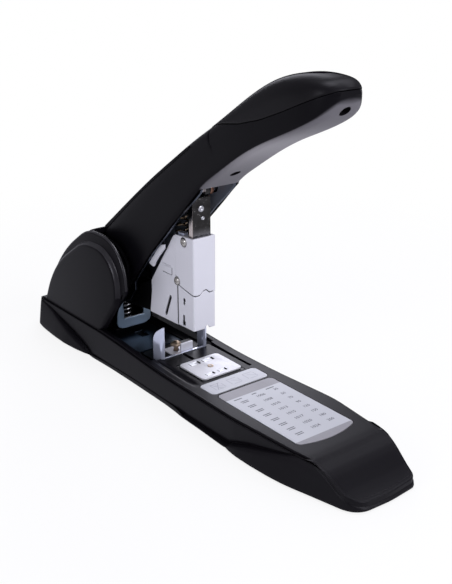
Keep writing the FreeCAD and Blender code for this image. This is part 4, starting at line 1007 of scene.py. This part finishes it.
def buildDeck():
    # a sheet over the base at the deck's height, with its openings left out, then given a thickness
    outline = roundedLoop(baseCorners(), 0.0, 16, 26)
    edges = []
    for sign in (-1, 1):
        side = outline[sign * outline[:, 1] > 0]
        side = side[np.argsort(side[:, 0])]
        edges.append((side[:, 0] - 1.3 * np.sign(side[:, 0]), np.abs(side[:, 1]) - 1.75))
    holes = np.array(baseShape["holes"])
    channel = np.array(baseShape["channel"])
    x = np.concatenate([np.linspace(-153.9, 154.0, 150), holes[:, 0], holes[:, 1], np.linspace(120, 154.0, 40),
                        np.linspace(-153.9, -143, 14)])
    x = np.unique(np.round(x, 3))
    near, far = (np.interp(x, *edge)[:, None] for edge in edges)
    y = np.unique(np.round(np.concatenate([np.linspace(-24.4, 24.4, 21), holes[:, 2], holes[:, 3], -channel]), 3))
    columns = np.concatenate([[-1e3], y, [1e3]])
    gridY = np.clip(columns[None, :], -near, far)
    gridX = np.broadcast_to(x[:, None], gridY.shape)
    gridZ = np.broadcast_to(alongX("deck", x)[:, None], gridY.shape)
    panelX, panelY, panelZ = baseShape["panel"]
    onPanel = (gridX > panelX - 0.1) & (np.abs(gridY) < panelY + 0.01)
    gridZ = np.where(onPanel, np.minimum(gridZ, panelZ), gridZ)
    # a shallow channel with soft sides runs beside the panel on the near side
    sunk = np.interp(-gridY, channel, (0.0, 0.35, 0.7, 0.7, 0.35, 0.0))
    sunk *= np.clip((gridX + 20.0) / 3.0, 0, 1) * np.clip((23.0 - gridX) / 6.0, 0, 1)
    grid = np.stack([gridX, gridY, gridZ - sunk], -1)
    faces = gridFaces(len(x), len(columns), False, False)
    centre = grid.reshape(-1, 3)[faces].mean(1)
    inHole = np.zeros(len(faces), bool)
    for x0, x1, y0, y1 in holes:
        inHole |= (centre[:, 0] > x0) & (centre[:, 0] < x1) & (centre[:, 1] > y0) & (centre[:, 1] < y1)
    piece = meshPiece("base_deck", [(grid, faces[~inHole])], "base", "black_moulding", ["base_shell"], sharp=40,
                      finish="baseMoulding")
    if piece.data.polygons[0].normal.z < 0:
        piece.data.flip_normals()
    solid = piece.modifiers.new("thickness", "SOLIDIFY")
    solid.thickness = 0.0024
    solid.offset = -1
    cutHoles(piece, [prism(loop, 17.55, 30.0) for loop in (stripOutline(0.35), tableOutline(0.35))])
    softenEdges(piece, 0.0004, angle=50, harden=False)


plateShape = {"top": 18.1, "corner": 3.0, "print": 0.012}


def stripOutline(grow):
    return roundedLoop([(23.5, -20.8, 3.0), (37.8, -20.8, 3.0), (37.8, 20.8, 3.0), (23.5, 20.8, 3.0)], -grow, 8, 2)


def tableOutline(grow):
    return roundedLoop([(39.8, -20.1, 3.0), (109.2, -20.1, 3.0), (115.8, 0.0, 50.0), (109.2, 20.1, 3.0),
                        (39.8, 20.1, 3.0)], -grow, 12, 2)


def stroke(x, y, length, width, turn=0.0):
    # a printed bar with its middle at x, y; without a turn it runs across the base
    turn = math.radians(turn)
    along = np.array([math.sin(turn), math.cos(turn)]) * length / 2
    aside = np.array([math.cos(turn), -math.sin(turn)]) * width / 2
    spots = np.array([-along - aside, -along + aside, along + aside, along - aside]) + (x, y)
    return np.column_stack([spots, np.full(4, plateShape["top"] + plateShape["print"])]), [[0, 1, 2, 3]]


def figures(body, x, y, height):
    # plain figures lying on the plate, read from the near side of the toe
    curve = bpy.data.curves.new("figures", "FONT")
    curve.body = body
    curve.size = height * 1.4
    curve.align_x = "CENTER"
    curve.align_y = "CENTER"
    curve.resolution_u = 2
    curve.offset = height * 0.03
    holder = bpy.data.objects.new("figures", curve)
    bpy.context.scene.collection.objects.link(holder)
    bpy.context.view_layer.update()
    mesh = bpy.data.meshes.new_from_object(holder.evaluated_get(bpy.context.evaluated_depsgraph_get()))
    spots = np.zeros(len(mesh.vertices) * 3)
    mesh.vertices.foreach_get("co", spots)
    spots = spots.reshape(-1, 3)
    faces = [list(polygon.vertices) for polygon in mesh.polygons]
    bpy.data.objects.remove(holder)
    flat = np.column_stack([x - spots[:, 1], y + spots[:, 0],
                            np.full(len(spots), plateShape["top"] + plateShape["print"])])
    return flat, faces


def buildPrint():
    # generic table: short bars in the first column, plain numbers in the other two
    sizes = ["1006", "1008", "1010", "1013", "1015", "1017", "1020", "1024"]
    sheets = ["30", "50", "70", "90", "120", "150", "180", "200"]
    marks = []
    for y, length in ((-13.2, 5.6), (-1.5, 3.4), (10.3, 6.0)):
        marks.append(stroke(50.6, y, length, 0.9))
    for k in range(8):
        x = 55.0 + 6.5 * k
        marks.append(stroke(x - 0.75, -11.6, 5.2, 0.75))
        marks.append(stroke(x + 0.75, -11.6, 4.6, 0.75))
        marks.append(figures(sizes[k], x - 0.6, 0.4, 2.3))
        marks.append(figures(sheets[k], x - 1.2, 12.2, 2.2))
    meshPiece("table_print", marks, "base", "label_silver", (), finish="labelInk")
    sketch = []
    for y in (-12.0, 0.0, 12.0):
        sketch += [stroke(27.2, y, 7.0, 0.3), stroke(33.8, y + 0.6, 5.4, 0.3), stroke(30.4, y - 3.4, 6.6, 0.3, 90),
                   stroke(30.6, y + 1.0, 5.6, 0.3, 38), stroke(31.0, y + 3.8, 5.0, 0.3, 90)]
    sketch += [stroke(30.5, -13.0, 8.6, 0.4, 62), stroke(30.5, -12.0, 8.6, 0.4, -58)]
    meshPiece("strip_print", sketch, "base", "label_silver", (), finish="labelSketch")


headShape = {
    "front": 2.5, "half": 8.1, "sheet": 0.8, "corner": 0.8, "top": 99.2, "topRear": 98.1, "bottom": 41.6,
    "rear": -15.7, "lowerRear": -13.4, "gap": 0.34,
    # height of the joint between the two sheets: along the side by x, across the front by y
    "sideX": [-15.8, -6.0, 0.5, 2.5], "sideZ": [67.7, 65.5, 64.3, 64.2],
    "frontY": [-8.1, -6.2, -3.6, -2.6, -1.6, -0.6, 0.6, 1.8, 2.8, 3.8, 4.8, 6.2, 7.2, 8.1],
    "frontZ": [64.2, 63.7, 63.8, 64.6, 65.6, 66.2, 66.4, 66.1, 65.1, 64.2, 64.3, 64.5, 64.0, 64.0],
    "screws": [(-7.1, 95.2), (-14.4, 69.2)], "slots": [(-5.5, -2.2), (-1.2, 1.6), (2.6, 5.5)],
}


def sheetPath(rear, front, half):
    # plan of a bent sheet: along the near side, round the front and back along the far side
    corner = headShape["corner"]
    turn = np.radians(np.linspace(-90, 0, 9))[:, None]
    side = np.linspace(rear, front - corner, 16)[:-1, None]
    near = np.hstack([side, np.full_like(side, -half), np.zeros_like(side), -np.ones_like(side)])
    bend = np.hstack([front - corner + corner * np.cos(turn), corner - half + corner * np.sin(turn),
                      np.cos(turn), np.sin(turn)])
    face = np.linspace(corner - half, half - corner, 60)[1:-1, None]
    face = np.hstack([np.full_like(face, front), face, np.ones_like(face), np.zeros_like(face)])
    start = np.vstack([near, bend])
    return np.vstack([start, face, start[::-1] * (1, -1, 1, -1)])


def jointHeight(x, y):
    onSide = np.interp(x, headShape["sideX"], headShape["sideZ"]) - 64.2
    return onSide + np.interp(y, headShape["frontY"], headShape["frontZ"])


def bentSheet(path, low, high, thick=0.8):
    # closed section of a sheet with rounded edges, carried along the path
    ring = [(0.0, low + 0.25), (0.0, low + 0.6), (0.0, high - 0.6), (0.0, high - 0.25), (0.07, high - 0.07),
            (0.25, high), (thick - 0.2, high), (thick, high - 0.2), (thick, low + 0.2), (thick - 0.2, low),
            (0.25, low), (0.07, low + 0.07)]
    rows = [np.column_stack([path[:, 0] - inset * path[:, 2], path[:, 1] - inset * path[:, 3],
                             np.broadcast_to(z, len(path))]) for inset, z in ring]
    return capped(np.array(rows).transpose(1, 0, 2))


def buildHead():
    gap = headShape["gap"]
    path = sheetPath(headShape["rear"], headShape["front"], headShape["half"])
    joint = jointHeight(path[:, 0], path[:, 1])
    high = np.interp(path[:, 0], (headShape["rear"], headShape["front"]), (headShape["topRear"], headShape["top"]))
    # cap round the driver: two bars in front of it and behind it, and one at each side
    top = headShape["top"] - 0.35
    cap = [box((0.35, -7.3, top - 1.2), (1.75, 7.3, top)), box((-9.0, -7.3, top - 1.2), (-5.0, -3.4, top - 0.2)),
           box((-9.0, 3.4, top - 1.2), (-5.0, 7.3, top - 0.2)),
           box((-5.0, -7.3, top - 1.2), (0.35, -6.75, top - 0.1)), box((-5.0, 6.75, top - 1.2), (0.35, 7.3, top - 0.1))]
    upper = meshPiece("head_sheet_upper", [bentSheet(path, joint + gap, high)] + cap, "magazine", "nickel_plate",
                      ["head_housing"], sharp=30)
    holes = [bar((x, -9.0, z), (0, 1, 0), 3.1, 0, 18) for x, z in headShape["screws"]]
    cutHoles(upper, holes)
    # three short slots in the cap, in front of the blade; their shallow floors take black steel as painted shade
    cutHoles(upper, [box((0.75, y0, top - 0.35), (1.35, y1, top + 1)) for y0, y1 in headShape["slots"]], 30)
    markFaces(upper, "blackSteel", lambda spot, normal: (
        top - 0.45 < spot.z * 1000 < top - 0.02 and 0.0007 < spot.x < 0.0014 and abs(spot.y) < 0.0056))

    path = sheetPath(headShape["lowerRear"], headShape["front"] - 0.25, headShape["half"] - 0.2)
    joint = jointHeight(path[:, 0], path[:, 1])
    onFront = path[:, 2] > 0.9
    mouth = np.sqrt(np.clip(1.8 ** 2 - (path[:, 1] - 1.7) ** 2, 0, None)) * onFront
    low = np.interp(path[:, 0], (headShape["rear"], headShape["front"]), (41.2, headShape["bottom"])) + mouth
    lower = meshPiece("head_sheet_lower", [bentSheet(path, low, joint - gap)], "magazine", "nickel_plate",
                      ["front_cover"], sharp=30)
    # a thin black sheet behind the joint between the two sheets paints the shade in the gap
    shadePath = sheetPath(headShape["lowerRear"] - 1.0, headShape["front"] - 1.1, headShape["half"] - 1.05)
    joint = jointHeight(shadePath[:, 0], shadePath[:, 1])
    meshPiece("head_joint_shade", [bentSheet(shadePath, joint - 2.0, joint + 2.0, 0.3)], "magazine", "black_steel")
    cutHoles(lower, [bar((-7.4, -9.0, 58.9), (0, 1, 0), 1.25, 0, 18), box((-9.0, -9, 42.4), (-7.1, 9, 49.2))])
    cutHoles(lower, [bar((-7.5, -9.0, 56.9), (0, 1, 0), 1.0, 0, 18), box((-9.4, -9, 42.4), (-6.4, 9, 45.4))])


def buildScrews():
    # pan heads with a cross recess, and the two deep screws under the lever
    profile = [(2.5, 0.0), (2.72, 0.12), (2.74, 0.35), (2.55, 0.75), (2.1, 1.08), (1.5, 1.3), (0.9, 1.42), (0.3, 1.46)]
    heads, slots = [], []
    for x, z in headShape["screws"]:
        for sign in (-1, 1):
            y = sign * 7.75
            heads.append(turned((x, y, z), (0, sign, 0), profile))
            low, high = sorted((y + sign * 0.7, y + sign * 3))
            slots.append(box((x - 1.5, low, z - 0.3), (x + 1.5, high, z + 0.3)))
            slots.append(box((x - 0.3, low, z - 1.5), (x + 0.3, high, z + 1.5)))
    screws = meshPiece("head_screws_turned", heads, "magazine", "zinc_screws", ["head_screws"])
    for slot in (slots[0::2], slots[1::2]):
        cutHoles(screws, slot)
    deep = []
    for start, way, depth in leverBores():
        deep.append(turned(start, way,
                           [(0.6, depth - 1.0), (2.2, depth - 1.2), (2.7, depth - 0.9), (2.8, depth + 0.4)]))
    meshPiece("lever_screws_turned", deep, "lever", "zinc_screws", ["lever_screws"])


def plateX(half, front, thick, slot, name, body, replaced, extra=()):
    # a plate across the base: its near half outline in y and z is mirrored and given a thickness along x
    outline = np.array(half, float)
    outline = np.concatenate([outline, outline[::-1] * (-1, 1)])
    skin = walled(np.concatenate([np.column_stack([np.full(len(outline), x), outline])
                                  for x in (front - thick, front)]))
    piece = meshPiece(name, [skin] + list(extra), body, slot, replaced, sharp=30)
    softenEdges(piece, 0.0005, 3)
    return piece


def buildCradle():
    # a bent plate with a low middle and a horn at each side, standing on a floor with two low walls
    half = [(-7.6, 24.4), (-7.5, 29.5), (-8.3, 34.2), (-7.6, 36.6), (-8.3, 38.4), (-9.6, 36.4), (-11.6, 31.4),
            (-12.9, 27.0), (-13.2, 21.4), (-12.2, 19.2), (-9.4, 17.7), (-7.0, 17.4)]
    walls = [box((-99.5, -10.4, 13.25), (-84.0, 10.4, 14.7))]
    for low, high in ((-10.4, -8.9), (8.9, 10.4)):
        walls += [box((-99.5, low, 13.25), (-90.0, high, 21.0)), box((-99.5, low, 18.2), (-77.8, high, 21.0))]
    piece = plateX(half, -76.4, 1.5, "blue_grey_steel", "spring_cradle_bent", "base", ["spring_cradle"], walls)
    # the floor and walls behind the plate take black steel as painted shade, and the plate's top edge takes a white
    # finish, bare cut steel and a painted highlight
    markFaces(piece, "blackSteel", lambda spot, normal: spot.x < -0.0780)
    markFaces(piece, "clinchBright", lambda spot, normal: normal.z > 0.7 and spot.z > 0.0235 and spot.x > -0.0785)


def buildStop():
    # fork of the paper stop: a flat foot and two ears, each a sheet bent inwards at its front edge
    bend = np.radians(np.linspace(-90, -38, 9))
    x = np.concatenate([np.linspace(-28.0, -20.8, 16), -20.5 + 2.0 * np.cos(bend), [-18.6, -18.2]])
    y = np.concatenate([np.full(16, -17.5), -15.5 + 2.0 * np.sin(bend), [-16.15, -15.5]])
    acrossX = np.concatenate([np.zeros(16), np.cos(bend), np.cos(bend[-1:]).repeat(2)])
    acrossY = np.concatenate([-np.ones(16), np.sin(bend), np.sin(bend[-1:]).repeat(2)])
    high = np.interp(x, (-28.0, -27.6, -26.6, -25.0, -23.6, -20.4, -18.9, -18.2),
                     (28.5, 30.4, 32.6, 34.6, 35.8, 38.1, 39.0, 39.3))
    low = np.where(x > -21.4, 18.15, 14.4)
    ears = [bentSheet(np.column_stack([x, sign * y, acrossX, sign * acrossY]), low, high, 1.3) for sign in (1, -1)]
    foot = box((-40.0, -18.4, 14.3), (-21.4, 18.4, 15.8))
    lip = box((-20.6, -16.3, 18.05), (-19.3, 16.3, 18.5))
    fork = meshPiece("paper_stop_bent", ears + [foot, lip], "stop", "chrome_plate", ["paper_stop"], sharp=40,
                     finish="earPlate")
    cutHoles(fork, [bar((-28.5, 0, 14.1), (0, 0, 1), 2.1, 0, 1.9)])
    # the foot and the lower ends of the ears, under the deck, take black steel as painted shade
    markFaces(fork, "blackSteel", lambda spot, normal: spot.z < 0.0159)
    screw = [(0.6, 13.5), (1.5, 13.6), (1.5, 19.3), (1.6, 19.4), (3.3, 20.3), (3.55, 20.7), (3.5, 21.2), (3.1, 21.9),
             (2.1, 22.5), (1.0, 22.85), (0.3, 22.9)]
    meshPiece("stop_screw_turned", [turned((-28.5, 0, 0), (0, 0, 1), screw)], "stop_screw", "brass_screw",
              ["stop_screw"], sharp=50)


def buildAnvil():
    # nickel plate with curved clinch grooves, their ends painted dark as shade and their middles painted bright as a
    # highlight, and a toothed edge
    top, centre = 19.15, 7.6
    outline = roundedLoop([(centre - 12.8, -14.5, 2.5), (centre + 12.8, -14.5, 2.5), (centre + 12.8, 14.5, 2.5),
                           (centre - 12.8, 14.5, 2.5)], 0, 8, 2)
    plate = meshPiece("anvil_plate_cut", [prism(outline, 18.25, top)], "anvil", "satin_nickel", ["anvil_plate"],
                      sharp=30)
    teeth = [box((centre - 11.4 + 1.5 * k, -15.0, top - 0.55), (centre - 10.75 + 1.5 * k, -14.1, top + 1))
             for k in range(16)]
    teeth += [box((centre + 12.4, -11.4 + 1.5 * k, top - 0.55), (centre + 13.2, -10.75 + 1.5 * k, top + 1))
              for k in range(9)]
    cutHoles(plate, teeth)
    grooves = []
    for x, width, start, end in ((-8.4, 4.0, -9.6, -2.0), (-8.4, 3.6, -0.2, 8.4), (8.4, 3.0, -9.8, -3.4),
                                 (8.4, 3.0, -0.8, 5.6)):
        length = end - start
        radius = length ** 2 / (8 * 0.72)
        grooves.append(bar((centre + x - width / 2, (start + end) / 2, top - 0.72 + radius), (1, 0, 0), radius,
                           0, width, 160))
    cutHoles(plate, grooves, 20)
    # painted shade on the steep upper faces of the grooves, painted highlight on their floors
    for finish, low, high in (("clinchDark", top - 0.34, top - 0.02), ("clinchBright", 18.3, top - 0.34)):
        markFaces(plate, finish, lambda spot, normal: (
            abs(spot.x * 1000 - centre) < 10.6 and -0.0099 < spot.y < 0.0086 and low < spot.z * 1000 < high))
    softenEdges(plate, 0.00015)
    rivet = [(1.75, 19.0), (1.8, 19.35), (1.5, 19.48), (1.1, 19.44), (0.85, 19.1), (0.3, 19.0)]
    meshPiece("anvil_rivet_turned", [turned((centre, 0, 0), (0, 0, 1), rivet)], "base", "satin_nickel",
              ["anvil_rivet"], finish="brassScrew")


def buildDriver():
    # blade and backing with softened edges, and two domed rivets with a dimple
    finishCopy("driver_blade", 0.00015, "groundBlade")
    finishCopy("driver_backing", 0.0002, "groundBlade")
    domes = []
    for y, z, radius in ((-0.4, 115.8, 2.1), (0.7, 110.0, 1.3)):
        profile = [(radius, -0.2), (radius, 0.15), (radius * 0.92, 0.42), (radius * 0.72, 0.62), (radius * 0.4, 0.68),
                   (radius * 0.25, 0.5), (radius * 0.1, 0.42)]
        domes.append(turned((0, y, z), (1, 0, 0), profile))
    meshPiece("driver_rivets_turned", domes, "driver", "bright_steel", ["driver_rivets"], sharp=60)


springShape = {
    # place along x, radius and wire, foot and top, turns, and the two bodies it works between
    "driver": {"x": -19.8, "radius": 4.0, "wire": 1.0, "foot": 74.1, "top": 119.8, "turns": 11,
               "between": ("magazine", "driver")},
    "lift": {"x": -88.0, "radius": 5.5, "wire": 1.5, "foot": 14.8, "top": 34.3, "turns": 6,
             "between": ("base", "magazine")},
}


def coilSpring(kind, slot):
    # round wire carried along a helix; each ring stands across the helix's direction
    shape = springShape[kind]
    wire = shape["wire"] / 2
    radius = shape["radius"] - wire
    sweep = 2 * math.pi * shape["turns"]
    rise = shape["top"] - shape["foot"] - 2 * wire
    t = np.linspace(0, 1, shape["turns"] * 28 + 1)[:, None]
    out = np.hstack([np.cos(sweep * t), np.sin(sweep * t), 0 * t])
    path = radius * out + np.hstack([0 * t + shape["x"], 0 * t, shape["foot"] + wire + rise * t])
    way = np.hstack([-np.sin(sweep * t), np.cos(sweep * t), 0 * t]) * radius * sweep + (0, 0, rise)
    way /= np.linalg.norm(way, axis=1)[:, None]
    up = np.cross(way, out)
    turn = np.linspace(0, 2 * math.pi, 12, endpoint=False)[None, :, None]
    skin = capped(path[:, None] + wire * (np.cos(turn) * out[:, None] + np.sin(turn) * up[:, None]))
    # the body at its foot and the body at its top, and its two ends, are handed on; the coil keeps its baked place
    ends = [(shape["x"] * 0.001, 0, shape[end] * 0.001) for end in ("foot", "top")]
    meshPiece(kind + "_spring_coil", [skin], (*shape["between"], *ends), slot, [kind + "_spring"])


def buildStraps():
    # bright straps beside the magazine, below the edge of the lever
    outline = [(-29.2, 88.7), (-33.8, 81.5), (-39.5, 74.9), (-39.3, 74.2), (-35.6, 73.0), (-34.9, 73.3),
               (-32.6, 77.0), (-29.6, 80.8), (-26.6, 84.0), (-23.2, 87.6), (-23.0, 90.3)]
    # each hangs on a dark tab inside the lever
    tab = [(-28.6, 86.6), (-23.8, 88.0), (-23.8, 94.0), (-28.6, 94.0)]
    parts = [sidePrism(loop, y + inset, y + 1.2 - inset)
             for y in (-11.0, 9.8) for loop, inset in ((outline, 0.0), (tab, 0.3))]
    piece = meshPiece("catch_straps_bent", parts, "lever", "bright_steel", ["catch_straps"], finish="nickelPlate")
    markFaces(piece, "blackSteel", lambda spot, normal: spot.z > 0.0899)
    softenEdges(piece, 0.0002)


def markSidePlates():
    # a lanced rectangle in each plate and the open joint in front of it, both with black slabs at their floors as
    # painted shade
    shadeSlabs = []
    for name in ("side_plate_left", "side_plate_right"):
        piece = finishCopy(name)
        low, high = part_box(name)
        outer = max(abs(low.y), abs(high.y)) * 1000
        sign = 1 if high.y > 0 else -1

        def slab(x0, x1, z0, z1, deep, proud=1.0):
            near, far = sorted((sign * (outer - deep), sign * (outer + proud)))
            return box((x0, near, z0), (x1, far, z1))

        cutHoles(piece, [slab(-29.0, -19.2, 76.05, 76.4, 0.35), slab(-29.0, -19.2, 71.3, 71.8, 0.5)])
        cutHoles(piece, [slab(-29.3, -28.9, 71.5, 76.3, 0.45), slab(-19.55, -19.1, 71.5, 76.3, 0.35),
                         slab(-14.4, -13.2, 38.0, 66.6, 0.75)])
        piece.data.shade_flat()
        shadeSlabs += [slab(-14.35, -13.25, 41.6, 66.5, 0.9, -0.6), slab(-28.95, -19.3, 71.35, 71.75, 0.6, -0.4),
                 slab(-19.5, -19.15, 71.9, 76.0, 0.45, -0.28), slab(-29.25, -28.95, 71.9, 76.0, 0.6, -0.38)]
    meshPiece("side_plate_joint_shade", shadeSlabs, "magazine", "black_steel")


# pieces that keep their shape from the frame: width of the softened edges, and a finish of their own
plainPieces = {
    "stop_bracket": (0.0002, None), "floor_plate": (0.0002, None), "base_chassis": (0.0003, None),
    "anvil_carrier": (0.0002, None), "spring_seat": (0.0002, "earPlate"), "magazine_frame": (0.00015, None),
    "pin_clips": (0.0002, None), "strip_plate": (0.0001, None), "table_plate": (0.0001, None),
}
trims = {
    # x and z of the near wall's edge in the channel, which ends below the moulding's edge
    "channel": [(-54, 57.9), (-44.7, 69.1), (-33.0, 82.7), (-21.8, 93.8), (-11.1, 105.0), (-0.9, 115.1),
                (9.0, 123.8), (16.6, 131.1), (22.0, 136.1), (40.0, 100.0), (-20.0, 40.0), (-54, 40.0)],
    # what of the steel cheeks would stand out beyond the edge of the hub's covers
    "uprights": [(-53.0, 72.0), (-53.0, 58.0), (-55.8, 53.3), (-81.3, 23.1), (-84.0, 19.0), (-30.0, 19.0),
                 (-30.0, 72.0)],
}


def trimChannel():
    channel = finishCopy("lever_channel", finish="channelSteel")
    cutHoles(channel, [sidePrism(trims["channel"], -16.0, 16.0)])
    # inside it is paler
    markFaces(channel, "channelInner", lambda spot, normal: normal.y < -0.9 and spot.y > 0)
    softenEdges(channel, 0.0002)


def trimUprights():
    for name in ("upright_left", "upright_right"):
        # what is left of the cheeks sits in the gap between the covers and takes the darker moulding as painted shade
        cutHoles(finishCopy(name, finish="deepMoulding"), [sidePrism(trims["uprights"], -22.0, 22.0)])


stages = {
    "lever": (buildLeverShell, buildGrip, buildStraps), "hub": (buildHubCovers, buildDome),
    "base": (buildBaseRim, buildDeck, buildPrint),
    "head": (buildHead, buildScrews, markSidePlates, buildCradle, buildStop, buildAnvil, buildDriver),
}
for name, builders in stages.items():
    for build in builders:
        build()
    print(name, "built")
coilSpring("driver", "bronze_wire")
coilSpring("lift", "spring_wire")
trimChannel()
trimUprights()
for name, (width, finish) in plainPieces.items():
    finishCopy(name, width, finish)
print("metal pieces finished")
